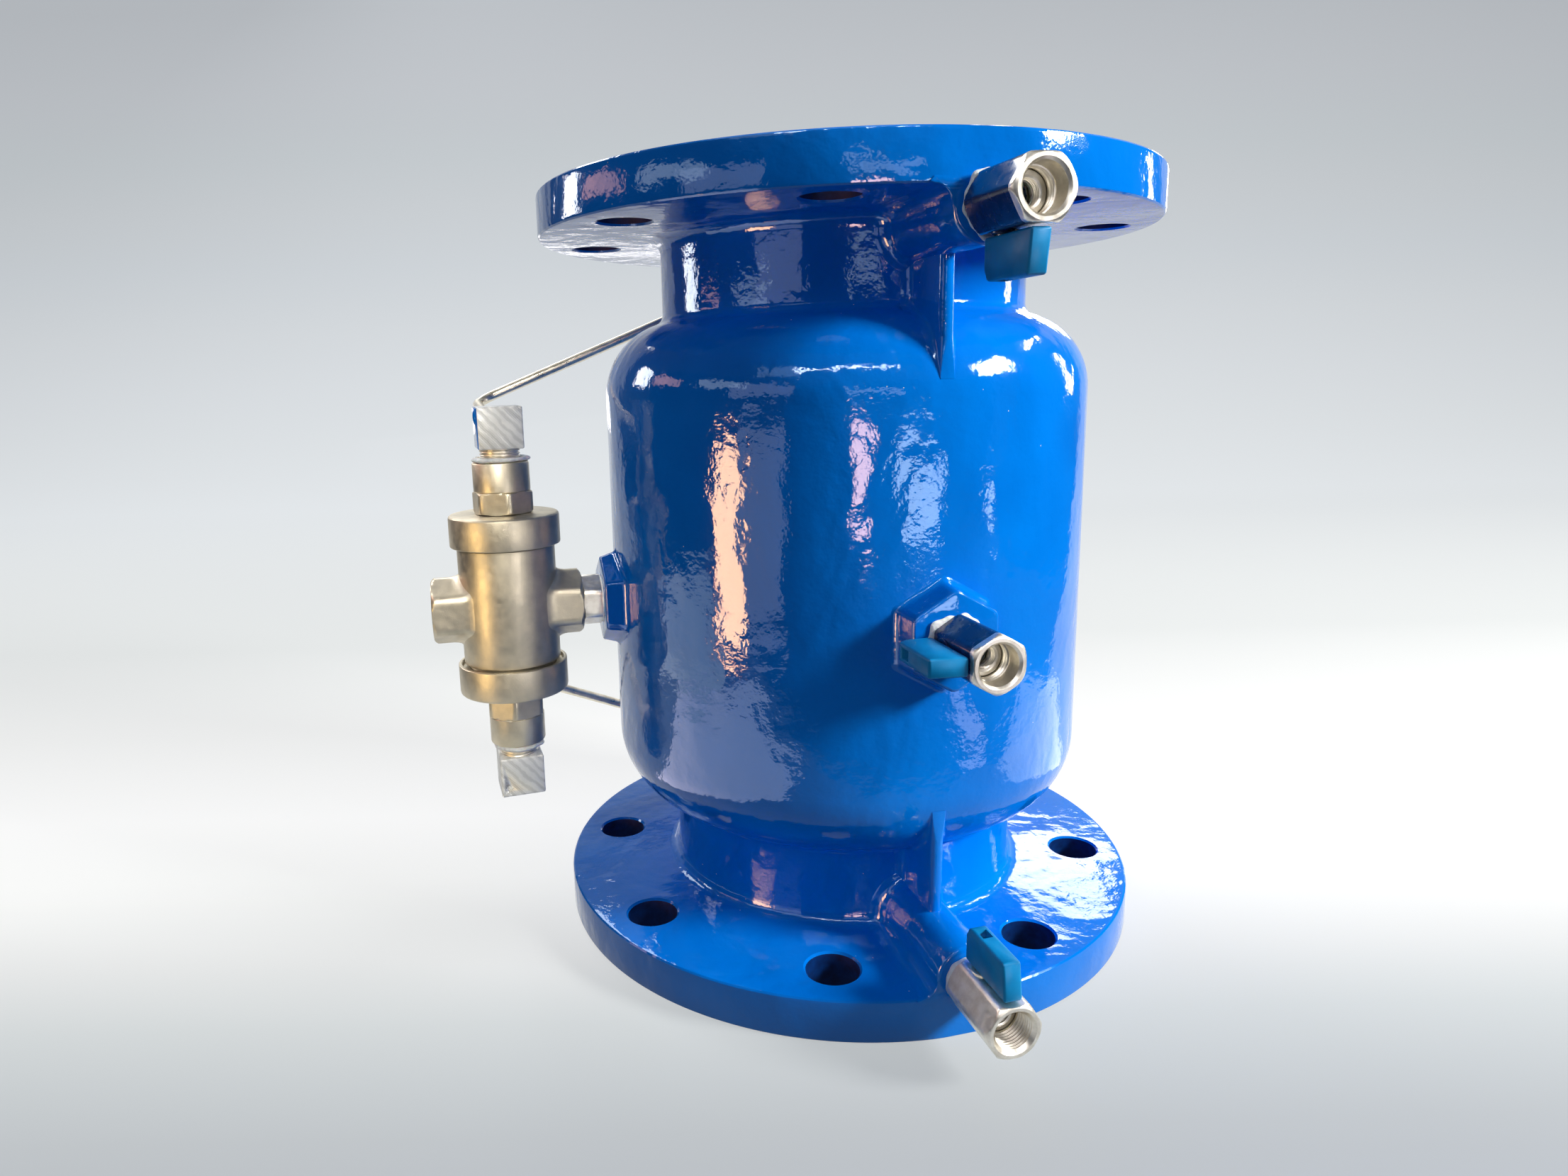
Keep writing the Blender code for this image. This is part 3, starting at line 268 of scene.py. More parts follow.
class Finish:
    """Builds one material's nodes; every texture reads the object's own coordinates."""

    def __init__(self, name, **sockets):
        self.material = bpy.data.materials.new(name)
        self.material.use_nodes = True
        self.nodes = self.material.node_tree.nodes
        self.links = self.material.node_tree.links
        self.shader = self.nodes["Principled BSDF"]
        for socket, value in sockets.items():
            self.set(socket.replace("_", " "), value)
        self.here = self.nodes.new("ShaderNodeTexCoord").outputs["Object"]
        self.place = self.mapped()

    def set(self, socket, value):
        """Give a shader socket a plain value, or link a node's output to it."""
        target = self.shader.inputs[socket]
        if isinstance(value, bpy.types.NodeSocket):
            self.links.new(value, target)
        else:
            target.default_value = (*value, 1.0) if isinstance(value, tuple) else value

    def mapped(self, stretch=(1, 1, 1), turn=(0, 0, 0)):
        """The object's coordinates, stretched, and turned by degrees."""
        node = self.nodes.new("ShaderNodeMapping")
        node.inputs["Scale"].default_value = stretch
        node.inputs["Rotation"].default_value = [math.radians(angle) for angle in turn]
        self.links.new(self.here, node.inputs["Vector"])
        return node.outputs["Vector"]

    def noise(self, size_mm, detail=3.0, roughness=0.5, place=None, distortion=0.0):
        """Soft clouds of about this size."""
        node = self.nodes.new("ShaderNodeTexNoise")
        node.inputs["Scale"].default_value = 1 / (size_mm * MM)
        node.inputs["Detail"].default_value = detail
        node.inputs["Roughness"].default_value = roughness
        node.inputs["Distortion"].default_value = distortion
        self.links.new(place or self.place, node.inputs["Vector"])
        return node.outputs["Fac"]

    def cells(self, size_mm):
        """Distance to the nearest of many scattered points."""
        node = self.nodes.new("ShaderNodeTexVoronoi")
        node.inputs["Scale"].default_value = 1 / (size_mm * MM)
        self.links.new(self.place, node.inputs["Vector"])
        return node.outputs["Distance"]

    def waves(self, size_mm, distortion, place):
        """Wavy bands of this pitch."""
        node = self.nodes.new("ShaderNodeTexWave")
        node.inputs["Scale"].default_value = BAND_PITCH / (size_mm * MM)
        node.inputs["Distortion"].default_value = distortion
        node.inputs["Detail"].default_value = 3.0
        node.inputs["Detail Scale"].default_value = 2.0
        self.links.new(place, node.inputs["Vector"])
        return node.outputs["Fac"]

    def ramp(self, value, *stops):
        """Map a value through stops of (place, colour) or (place, number)."""
        node = self.nodes.new("ShaderNodeValToRGB")
        elements = node.color_ramp.elements
        while len(elements) < len(stops):
            elements.new(0.5)
        for element, (at, colour) in zip(elements, stops):
            element.position = at
            element.color = (*colour, 1) if isinstance(colour, tuple) else (colour,) * 3 + (1,)
        self.links.new(value, node.inputs["Fac"])
        return node.outputs["Color"]

    def math(self, operation, first, second=0.0):
        """One operation on two numbers or outputs."""
        node = self.nodes.new("ShaderNodeMath")
        node.operation = operation
        for socket, value in zip(node.inputs, (first, second)):
            if isinstance(value, bpy.types.NodeSocket):
                self.links.new(value, socket)
            else:
                socket.default_value = value
        return node.outputs["Value"]

    def mix(self, factor, first, second):
        """Blend from the first colour to the second by a factor."""
        node = self.nodes.new("ShaderNodeMix")
        node.data_type = "RGBA"
        for name, value in (("Factor", factor), ("A", first), ("B", second)):
            socket = [s for s in node.inputs if s.name == name and s.enabled][0]
            if isinstance(value, bpy.types.NodeSocket):
                self.links.new(value, socket)
            else:
                socket.default_value = (*value, 1.0) if isinstance(value, tuple) else value
        return [s for s in node.outputs if s.enabled][0]

    def bump(self, *layers):
        """Stack bumps of (height, depth in mm), coarse to fine, onto the shader's normal."""
        normal = None
        for height, depth in layers:
            node = self.nodes.new("ShaderNodeBump")
            node.inputs["Distance"].default_value = depth * MM
            self.links.new(height, node.inputs["Height"])
            if normal:
                self.links.new(normal, node.inputs["Normal"])
            normal = node.outputs["Normal"]
        self.links.new(normal, self.shader.inputs["Normal"])


print("node kit ready")

# %% [markdown]
# ## Blue enamel
# The casting is painted thick and glossy. Up close the film is uneven: wide sags bend the
# reflections, a fine orange peel breaks their edges, and small chips and dust sit in it. Three
# bumps of different size give this; the colour only drifts a little.

# %% The enamel
def enamel_film(finish, peel=1.0):
    """The uneven surface of a thick coat of paint."""
    sag = finish.noise(34, 2.0, place=finish.mapped((1, 1, 0.6)), distortion=0.6)
    ripple = finish.noise(8, 3.0, 0.55)
    pores = finish.noise(2.2, 3.0, 0.6)
    finish.bump((sag, 1.3 * peel), (ripple, 0.28 * peel), (pores, 0.035 * peel))


def blue_enamel():
    """The thick glossy coat, with a few pale specks of dust."""
    finish = Finish("blue_enamel", IOR=1.42, Specular_Tint=(0.6, 0.85, 1.0))
    drift = finish.noise(60, 2.0)
    colour = finish.ramp(drift, (0.3, (0.0, 0.168, 0.67)), (0.7, (0.0, 0.222, 0.83)))
    dust = finish.math("LESS_THAN", finish.cells(7.5), 0.035)
    patch = finish.math("GREATER_THAN", finish.noise(26, 2.0), 0.56)
    colour = finish.mix(finish.math("MULTIPLY", dust, patch), colour, (0.55, 0.62, 0.75))
    finish.set("Base Color", colour)
    finish.set("Roughness", finish.ramp(finish.noise(14, 3.0), (0.3, 0.045), (0.75, 0.09)))
    enamel_film(finish)
    return finish.material


def thin_enamel():
    """Painted shade: near-black blue on the bolt holes' walls, where the holes lie in shade."""
    finish = Finish("thin_enamel", Roughness=0.6, Specular_IOR_Level=0.1)
    finish.set("Base Color", finish.ramp(finish.noise(4, 3.0), (0.3, (0.0, 0.012, 0.075)),
                                         (0.7, (0.0, 0.03, 0.16))))
    finish.bump((finish.noise(1.5, 2.0), 0.05))
    return finish.material


ENAMEL = blue_enamel()
HOLE_PAINTED_SHADE = thin_enamel()
print("enamels mixed")

# %% [markdown]
# ## Metals
# The relief valve is cast stainless steel, blasted with beads, so it is matt with a fine grain
# and a warm tint. Machined pieces keep soft marks and a fine grain, the tubes are drawn and
# polished, and the elbows were cut from bar with a saw that left slanting lines.

# %% Castings and machined metal
def blasted_steel():
    """Cast stainless steel, blasted with beads: matt, blotched and finely grained."""
    finish = Finish("cast_stainless", Metallic=0.9)
    blotch = finish.noise(13, 3.0, 0.6)
    finish.set("Base Color", finish.ramp(blotch, (0.35, (0.45, 0.41, 0.32)),
                                         (0.65, (0.60, 0.54, 0.41))))
    finish.set("Roughness", finish.ramp(finish.noise(3, 4.0), (0.3, 0.36), (0.7, 0.47)))
    finish.bump((finish.noise(5, 2.0), 0.05), (finish.noise(0.6, 2.0), 0.045))
    return finish.material


def worked_metal(name, light, dark, rough=(0.2, 0.34), grain_mm=0.7, depth=0.006, blotch_mm=6):
    """Machined or plated metal: slight stains, a fine grain and soft marks."""
    finish = Finish(name, Metallic=1.0)
    stain = finish.noise(blotch_mm, 4.0, 0.6)
    finish.set("Base Color", finish.ramp(stain, (0.35, dark), (0.62, light)))
    finish.set("Roughness", finish.ramp(finish.noise(2.2, 3.0), (0.35, rough[0]), (0.7, rough[1])))
    finish.bump((finish.noise(5, 2.0), 0.01), (finish.noise(grain_mm, 2.0), depth))
    return finish.material


CAST_STEEL = blasted_steel()
STEEL = worked_metal("stainless", (0.72, 0.70, 0.66), (0.56, 0.54, 0.50))
BRONZE = worked_metal("bronze", (0.72, 0.47, 0.22), (0.55, 0.33, 0.14), blotch_mm=15)
NICKEL = worked_metal("nickel_plate", (0.92, 0.88, 0.78), (0.72, 0.67, 0.57), rough=(0.32, 0.44),
                      grain_mm=0.9, depth=0.003, blotch_mm=5)
print("cast, stainless, bronze and nickel finishes mixed")

# %% Polished tube and sawn bar
def drawn_tube():
    """Drawn stainless tube, with faint streaks along its run."""
    finish = Finish("drawn_tube", Metallic=1.0)
    streak = finish.noise(5, 4.0, place=finish.mapped((1, 0.12, 1)))
    finish.set("Base Color", finish.ramp(streak, (0.3, (0.66, 0.60, 0.47)),
                                         (0.7, (0.88, 0.81, 0.66))))
    finish.set("Roughness", finish.ramp(streak, (0.3, 0.26), (0.7, 0.36)))
    finish.bump((finish.noise(1.2, 2.0), 0.015))
    return finish.material


def sawn_aluminium():
    """Bar stock as the saw left it, with slanting marks and some smears."""
    finish = Finish("sawn_aluminium", Metallic=0.15)
    slant = finish.mapped((1, 1, 1), (0, 42, 12))
    marks = finish.waves(3.4, 3.0, slant)
    fine = finish.waves(0.8, 4.0, slant)
    smear = finish.noise(7, 4.0)
    shade = finish.mix(finish.ramp(smear, (0.4, 0.0), (0.7, 0.8)), (0.95, 0.94, 0.89),
                       (0.84, 0.84, 0.81))
    finish.set("Base Color", finish.mix(finish.ramp(marks, (0.1, 0.6), (0.6, 0.0)), shade,
                                        (0.60, 0.60, 0.57)))
    finish.set("Roughness", finish.ramp(marks, (0.2, 0.5), (0.8, 0.34)))
    finish.bump((marks, 0.14), (fine, 0.04))
    return finish.material


TUBE = drawn_tube()
ALUMINIUM = sawn_aluminium()
print("tube and sawn bar mixed")

# %% [markdown]
# ## Plastic, rubber and tape
# The levers are moulded in a dull teal-blue plastic, scuffed where they rub. The white tape is
# wound thin over the threads, so it shows as soft ridges that catch the light.

# %% Soft materials
def lever_plastic():
    """Moulded teal-blue plastic, lighter where it is scuffed."""
    finish = Finish("blue_plastic", IOR=1.4, Specular_IOR_Level=0.3)
    cloud = finish.noise(9, 3.0)
    colour = finish.ramp(cloud, (0.3, (0.0, 0.215, 0.50)), (0.7, (0.0, 0.30, 0.66)))
    scuff = finish.ramp(finish.noise(1.6, 5.0, 0.7), (0.64, 0.0), (0.78, 0.25))
    finish.set("Base Color", finish.mix(scuff, colour, (0.10, 0.42, 0.62)))
    finish.set("Roughness", finish.ramp(cloud, (0.3, 0.3), (0.7, 0.46)))
    finish.bump((finish.noise(0.5, 2.0), 0.02))
    return finish.material


def thread_tape():
    """Thin white tape, a little translucent and crumpled."""
    finish = Finish("white_ptfe", Subsurface_Weight=0.15, Subsurface_Scale=0.001)
    finish.set("Base Color", finish.ramp(finish.noise(2, 4.0), (0.3, (0.80, 0.81, 0.80)),
                                         (0.6, (0.95, 0.95, 0.93))))
    finish.set("Roughness", finish.ramp(finish.noise(3, 2.0), (0.3, 0.4), (0.7, 0.6)))
    finish.bump((finish.noise(1.1, 3.0), 0.25))
    return finish.material


def black_rubber():
    """Dull rubber of seals and gaskets."""
    finish = Finish("black_rubber")
    finish.set("Base Color", finish.ramp(finish.noise(4, 3.0), (0.3, (0.014, 0.014, 0.015)),
                                         (0.7, (0.04, 0.04, 0.038))))
    finish.set("Roughness", finish.ramp(finish.noise(2, 3.0), (0.3, 0.55), (0.7, 0.75)))
    finish.bump((finish.noise(0.6, 2.0), 0.02))
    return finish.material


PLASTIC = lever_plastic()
TAPE = thread_tape()
RUBBER = black_rubber()
print("plastic, tape and rubber mixed")

# %% [markdown]
# ## The casting
# The real body is sand-cast and its flanges are turned, so its edges are soft and every inner
# corner has a fillet. One turned loop gives the outside and the water passage together. The
# bolt holes are cut with one Boolean, whose cutters flare at both ends, so that each hole gets
# its chamfer. A flat is milled on each flange's rim where a test cock stands.

# %% Turned body
def bow(centre, radius, start, stop, count):
    """Points of an arc in a profile, with angles in degrees."""
    angles = [math.radians(start + (stop - start) * i / count) for i in range(count + 1)]
    return [(centre[0] + radius * math.cos(a), centre[1] + radius * math.sin(a), 0)
            for a in angles]


SHOULDER_R = 35.0
SHOULDER_DEPTH = 91.0
NECK_FILLET = 5.0
FOOT_R = 6.0
WALL = 10.0
BORE_DEPTH = 66
LEDGE_DEPTH = 46
LEDGE_R = 70
PARTITION = (123, 126, 132)
RIM_FLAT_Y = -141.3
UNDER = HEIGHT - FLANGE_T
SHOULDER = (BARREL_R - SHOULDER_R, HEIGHT - SHOULDER_DEPTH)


def outer_half():
    """Outside of the upper half, from the flange's edge down to the barrel."""
    fillet_r = NECK_R + NECK_FILLET
    rise = math.sqrt((SHOULDER_R + NECK_FILLET) ** 2 - (fillet_r - SHOULDER[0]) ** 2)
    meet = math.degrees(math.atan2(rise, fillet_r - SHOULDER[0]))
    return ([(FLANGE_R, HEIGHT, 1.8), (FLANGE_R, UNDER, 1.8)]
            + bow((NECK_R + FOOT_R, UNDER - FOOT_R), FOOT_R, 90, 180, 6)
            + bow((fillet_r, SHOULDER[1] + rise), NECK_FILLET, 180, 180 + meet, 4)
            + bow(SHOULDER, SHOULDER_R, meet, 0, 14))


def inner_loop():
    """Water passage from the bottom up: lower bore, chamber, partition, chamber, ledge."""
    chamber = BARREL_R - WALL
    corner = SHOULDER_R - WALL
    low, ledge, high = PARTITION
    return ([(BORE_R, 0, 0.8), (BORE_R, BORE_DEPTH, 2)]
            + bow((chamber - corner, SHOULDER_DEPTH), corner, -90, 0, 8)
            + [(chamber, low, 3), (BORE_R, low, 1), (BORE_R, ledge), (LEDGE_R, ledge),
               (LEDGE_R, high, 1), (chamber, high, 3)]
            + bow((chamber - corner, HEIGHT - SHOULDER_DEPTH), corner, 0, 90, 8)
            + [(LEDGE_R, HEIGHT - BORE_DEPTH, 2), (LEDGE_R, HEIGHT - LEDGE_DEPTH),
               (BORE_R, HEIGHT - LEDGE_DEPTH, 0.3), (BORE_R, HEIGHT, 0.8)])


upper = outer_half()
lower = [(p[0], HEIGHT - p[1], *p[2:]) for p in reversed(upper)]
outline = eased(upper + lower + inner_loop(), 0.4, loop=True)
rings = [ring(r, z, 192) for r, z in outline]
for points in rings:
    points[:, 1] = np.maximum(points[:, 1], RIM_FLAT_Y)
shell = skin(rings, loop=True)
print("casting outline of", len(outline), "points")

# %% Bolt holes and drillings
BOLT_R = 120.0
HOLE_R = 11.5
HOLES = 8
HOLE_PITCH = 360 / HOLES
FIRST_HOLE = -67.5
COCK_Z = 26
PAD_Z = 160.5
ROOTS = {"top": (0, -145.3, HEIGHT - COCK_Z), "mid": (0, -126.8, PAD_Z),
         "bottom": (0, -145.3, COCK_Z)}
STEMS = {"top": (0, 0, -1), "mid": (-1, 0, 0), "bottom": (0, 0, 1)}


def drill(profile, place, steps=48):
    """A closed turned cutter."""
    rows = [ring(max(r, 0.01), z, steps) for r, z in profile]
    points, faces, place, material = skin(rows, place, cap=True)
    faces.append(tuple(reversed(range(steps))))
    return points, faces, place, material


def flange_holes():
    """Cutters of the bolt holes, each a little wider at both faces."""
    flare = 0.9
    cutters = []
    for i in range(HOLES):
        angle = math.radians(HOLE_PITCH * i + FIRST_HOLE)
        for low in (0, UNDER):
            at = (BOLT_R * math.cos(angle), BOLT_R * math.sin(angle), low)
            cutters.append(drill([
                (HOLE_R + flare + 1, -1), (HOLE_R, flare), (HOLE_R, FLANGE_T - flare),
                (HOLE_R + flare + 1, FLANGE_T + 1)], placed(at)))
    return cutters


def waterways():
    """Small holes from the bore to the roots of the cocks and to the relief valve's nipple."""
    start = 66
    found = []
    for which, (x, _, z) in ROOTS.items():
        stop = 108.5 if which == "mid" else 79.0
        found.append(drill([(4.2, 0), (4.2, stop - start)],
                           placed((x, -start, z), z_axis=(0, -1, 0))))
    found.append(drill([(10.7, 0), (10.7, 14.5)], placed((-94, 0, PAD_Z), z_axis=(-1, 0, 0))))
    return found


body = piece("casting_body", [shell], [ENAMEL, HOLE_PAINTED_SHADE], replaces="valve_body",
             sharp=32)
carve(body, flange_holes() + waterways(), 32)
print("casting body of", len(body.data.polygons), "faces")

# %% Painted shade in the bolt holes
def repaint(made, place, chosen):
    """Give a piece's second material to the faces that a rule picks by centre and normal."""
    inverse = place.inverted()
    count = 0
    for face in made.data.polygons:
        if chosen(inverse @ face.center, face.normal):
            face.material_index = 1
            count += 1
    print(made.name, "repainted on", count, "faces")


def in_hole(at, normal):
    """Whether a face of the casting is on the wall of a bolt hole."""
    hole = round((math.degrees(math.atan2(at.y, at.x)) - FIRST_HOLE) / HOLE_PITCH)
    turn = math.radians(HOLE_PITCH * hole + FIRST_HOLE)
    away = math.hypot(at.x - BOLT_R * math.cos(turn), at.y - BOLT_R * math.sin(turn))
    in_flange = at.z < FLANGE_T or at.z > UNDER
    return in_flange and away < HOLE_R + 0.4 and abs(normal.z) < 0.9


# The bolt holes' walls get the second material: a painted shade in near-black blue.
repaint(body, VALVE, in_hole)

# %% [markdown]
# ## Bosses, ribs and pads
# Each cock stands on a boss that is cast against flange and neck, and a thin rib ties the boss
# to the shoulder. Uniting these with the body and bevelling the seams would tear at the thin
# fillets. So each one is a shell of its own whose feet run out level with the body: the fillet
# is in the section, and the section's foot follows the neck or the barrel.

# %% Flange bosses
BOSS_R = 13.0
BOSS_RISE = 7.0
BOSS_HALF = BOSS_R + BOSS_RISE


def sheet_skin(rows):
    """A skin over rows of points that don't close."""
    wide = len(rows[0])
    points = [np.array(p, float) for row in rows for p in row]
    faces = [(k * wide + i, (k + 1) * wide + i, (k + 1) * wide + i + 1, k * wide + i + 1)
             for k in range(len(rows) - 1) for i in range(wide - 1)]
    return points, faces, VALVE, 0


def boss_section(grow, inset=0.0):
    """Section of a boss as (across, height over the flange); grow swells its fillets."""
    spill = BOSS_HALF + 1.5
    sunk = grow - 0.3
    left = bow((-BOSS_HALF, BOSS_RISE), max(BOSS_RISE - grow, 0.5), -90, 0, 7)
    crown = bow((0, BOSS_RISE), BOSS_R + grow - inset, 180, 0, 26)[1:-1]
    right = [(-x, y) for x, y, _ in reversed(left)]
    points = [(-spill, sunk)] + [p[:2] for p in left + crown] + right + [(spill, sunk)]
    return [(x, y - inset * 0.3) for x, y in points]


def flange_boss(top):
    """Shell of a boss from the rim's flat to the neck."""
    base, up = (UNDER, -1) if top else (FLANGE_T, 1)
    front = RIM_FLAT_Y - 0.05
    rows = []
    for depth, inset in ((0.0, 1.4), (0.1, 0.9), (0.45, 0.35), (1.4, 0.0), (20, 0.0)):
        rows.append([(x, front + depth, base + up * h) for x, h in boss_section(0, inset)])
    for away in (6.5, 5.0, 3.6, 2.4, 1.4, 0.6, 0.1, -1.5):
        near = min(max(FOOT_R - away, 0), FOOT_R)
        grow = FOOT_R - math.sqrt(FOOT_R ** 2 - near ** 2)
        rows.append([(x, -math.sqrt(NECK_R ** 2 - x ** 2) - away, base + up * h)
                     for x, h in boss_section(grow)])
    points, faces, place, material = sheet_skin(rows)
    foot = len(points)
    points += [np.array((x, front, base - up * 2.5)) for x in (BOSS_HALF, -BOSS_HALF)]
    faces.append(tuple(range(len(rows[0]))) + (foot, foot + 1))
    return points, faces, place, material


print("boss sections of", len(boss_section(0)), "points")

# %% Ribs
def outer_radius(z):
    """Radius of the casting's outside at a height in its upper half."""
    profile = [(r, h) for r, h, *_ in outer_half()][2:]
    heights = [h for _, h in profile][::-1]
    return float(np.interp(z, heights, [r for r, _ in profile][::-1]))


def rib_section(reach, surface):
    """Section of the rib: flared feet on the round surface and a rounded nose."""
    half = 3.0
    left = reach - surface
    flare = min(4.0, 0.55 * left)
    nose = min(2.6, 0.45 * left)
    points = [(half + flare + 0.8, -0.4)]
    points += [(half + flare - flare * math.sin(a), flare - flare * math.cos(a))
               for a in np.linspace(0, math.pi / 2, 6)]
    points += [(half - nose + nose * math.cos(a), left - nose + nose * math.sin(a))
               for a in np.linspace(0, math.pi / 2, 5)]
    points += [(-x, h) for x, h in reversed(points)]
    return [(x, -math.sqrt(surface ** 2 - x ** 2) - h if h < left * 0.6
             else -surface - h) for x, h in points]


def rib(top):
    """The plate from the boss to the shoulder; its nose leans out where it meets the boss."""
    reach = BARREL_R - 0.5
    rows = []
    for depth in (26, 34, 40, 46, 52, 55, 58, 60, 62, 64, 67, 70, 73, 76, 79, 82, 84.5):
        height = HEIGHT - depth
        lean = 0.022 * max(0, 40 - depth) ** 2
        rows.append([(x, y - (lean if y < -reach + 8 else 0), height if top else depth)
                     for x, y in rib_section(reach, outer_radius(height))])
    return sheet_skin(rows)


for which in ("top", "bottom"):
    piece(which + "_boss_and_rib", [flange_boss(which == "top"), rib(which == "top")], ENAMEL,
          sharp=42)
print("bosses and ribs in place")

# %% Pads on the barrel and the necks
PAD_FLATS = 36.0


def laid_on(points, surface_r, lift):
    """Raise a ring onto a round surface whose axis lies along the ring's local X."""
    points[:, 2] = np.sqrt(surface_r ** 2 - points[:, 1] ** 2) + lift
    return points


def hex_pad(place, reach):
    """A hexagonal pad whose foot flares onto the barrel."""
    rows = [laid_on(ring(hexagon(PAD_FLATS + grow, 96, corner_ease=0.5), 0), BARREL_R, lift)
            for grow, lift in ((9.0, -0.3), (6.2, 0.15), (4.4, 0.7), (3.2, 1.6), (2.4, 3.2))]
    rows += [ring(hexagon(PAD_FLATS + grow, 96, corner_ease=0.6), reach - down)
             for grow, down in ((0.6, 1.5), (0.3, 0.7), (-0.5, 0.2), (-2.0, 0.0))]
    return skin(rows + [ring(8.0, reach)], place, cap=True)


def round_pad(place, reach, radius):
    """A round boss whose foot flares onto a neck."""
    rows = [laid_on(ring(radius + grow, 0, 48), NECK_R, lift)
            for grow, lift in ((4.5, -0.3), (3.0, 0.15), (1.7, 0.8), (0.7, 2.0), (0.2, 3.4))]
    rows += [ring(radius + grow, reach - down, 48)
             for grow, down in ((0.0, 0.9), (-0.3, 0.25), (-1.0, 0.0), (-3.0, 0.0))]
    return skin(rows, place, cap=True)


RELIEF_REACH = 122.5
CONNECTOR_REACH = 92.0
CONNECTOR_Z = {"upper": HEIGHT - 47.5, "lower": 47.5}
CONNECTOR_TURN = math.radians(115.0)
RADIAL = (math.cos(CONNECTOR_TURN), math.sin(CONNECTOR_TURN), 0)
piece("cock_pad", [hex_pad(placed((0, 0, PAD_Z), (0, 0, 1), (0, -1, 0)), 126.0)], ENAMEL)
piece("relief_pad", [hex_pad(placed((0, 0, PAD_Z), (0, 0, 1), (-1, 0, 0)), RELIEF_REACH)], ENAMEL)
for which, height in CONNECTOR_Z.items():
    piece(which + "_connector_boss", [round_pad(placed((0, 0, height), (0, 0, 1), RADIAL),
                                                CONNECTOR_REACH, 10.0)], ENAMEL)
print("pads in place")

# %% [markdown]
# ## Test cocks
# Each cock is a piece of plated hexagon bar, turned at its ends, with an internal thread and a
# moulded lever. Two of them were painted over by hand with dark blue, which stops short of the
# mouth; the third stayed bare. The thread is made of plain ring grooves, since no one can tell
# them from a helix inside so small a bore, and rings keep the bore's skin clean.

# %% Dark paint over plated bar
def navy_paint():
    """Brushed dark paint, its blue a little uneven in soft clouds."""
    finish = Finish("navy_paint", IOR=1.5, Coat_Weight=0.3, Coat_Roughness=0.08)
    finish.set("Base Color", finish.ramp(finish.noise(5, 3.0), (0.35, (0.002, 0.012, 0.075)),
                                         (0.7, (0.003, 0.035, 0.16))))
    finish.set("Roughness", finish.ramp(finish.noise(3, 3.0), (0.3, 0.12), (0.7, 0.3)))
    enamel_film(finish, 0.35)
    return finish.material


NAVY = navy_paint()
print("dark paint mixed")

# %% Cock bodies
COCK_FLATS = 21.0
COCK_LENGTH = 32.5
PAINT_STOP = 3.3
STEM_AT = Matrix.Translation((0, 0, 8.5))
COCKS = {which: placed(ROOTS[which], STEMS[which], (0, -1, 0)) for which in ROOTS}


def grooves(start, stop, crest, root, pitch=1.34):
    """Rows of (radius, height) for ring grooves between two heights."""
    count = int(abs(stop - start) / pitch)
    step = (stop - start) / count
    rows = []
    for k in range(count):
        at = start + k * step
        rows += [(crest, at), (crest, at + 0.18 * step), (root, at + 0.45 * step),
                 (root, at + 0.62 * step)]
    return rows + [(crest, stop)]


def cock_body(which):
    """Hexagon with turned ends, thread, chamber and tail, in one closed skin."""
    place, end = COCKS[which], COCK_LENGTH
    flats = hexagon(COCK_FLATS, 96, turn=30, corner_ease=0.45)
    wobble = 0.35 * np.sin(3 * np.linspace(0, 2 * np.pi, 96, endpoint=False) + 1)

    def trimmed(limit):
        return np.minimum(flats, limit)

    rows = [(4.2, -16), (7.5, -16), (8.3, -15.2), (8.3, 0), (trimmed(10.6), 0),
            (trimmed(11.1), 0.3), (trimmed(11.7), 1.0), (flats, 1.8), (flats, 12),
            (flats, end - 3.2 + wobble), (flats, end - 2.2), (trimmed(11.8), end - 1.5),
            (trimmed(11.3), end - 0.95), (trimmed(10.9), end - 0.5),
            (trimmed(10.6) - 0.08, end - 0.2), (10.15, end), (8.95, end), (8.6, end - 0.3),
            (8.0, end - 1.0)]
    if which == "bottom":
        rows += grooves(end - 1.5, 21.4, 7.55, 8.25)
    else:
        rows += [(7.95, 24.6)] + grooves(24.4, 21.4, 7.45, 8.05, 1.2)
    rows += [(8.0, 20.5), (7.5, 20.5), (7.5, 1.0), (4.2, 1.0)]
    chunk = skin([ring(r, z, 96) for r, z in rows], place, loop=True)
    collar = turned([(3.3, 9.4), (5.0, 9.4), (5.0, 11.1), (3.3, 11.1)],
                    place @ STEM_AT @ Matrix.Rotation(math.pi / 2, 4, "Y"), 48, 0.3, loop=True)
    made = piece(which + "_cock_hexagon", [chunk, collar], [NICKEL, NAVY],
                 replaces=which + "_cock_body", sharp=28)
    if which != "bottom":
        repaint(made, place, lambda at, _: (-0.1 < at.z < end - PAINT_STOP
                                            and at.xy.length > 8.4))


for which in COCKS:
    cock_body(which)
print("cock bodies in place")

# %% Rings behind the threads
def retainer(which):
    """Screwed ring behind the thread, with its own small grooves."""
    rows = [(7.2, 16.7), (7.2, 20.3), (6.9, 20.5), (5.6, 20.5), (5.3, 20.3)]
    rows += grooves(20.1, 17.0, 4.75, 5.3, 1.0) + [(4.7, 16.7)]
    piece(which + "_cock_ring", [skin([ring(r, z, 64) for r, z in rows], COCKS[which],
                                      loop=True)], NICKEL,
          replaces=which + "_cock_retainer", sharp=28)


for which in COCKS:
    retainer(which)
print("rings in place")

# %% [markdown]
# ## Thread tape
# A fitter winds white tape over a thread before screwing it in, and some of it squeezes out at
# the root. A torus would look like an O-ring, so the ring's width and height waver with a few
# sines of fixed phase: uneven, but the same at every run.

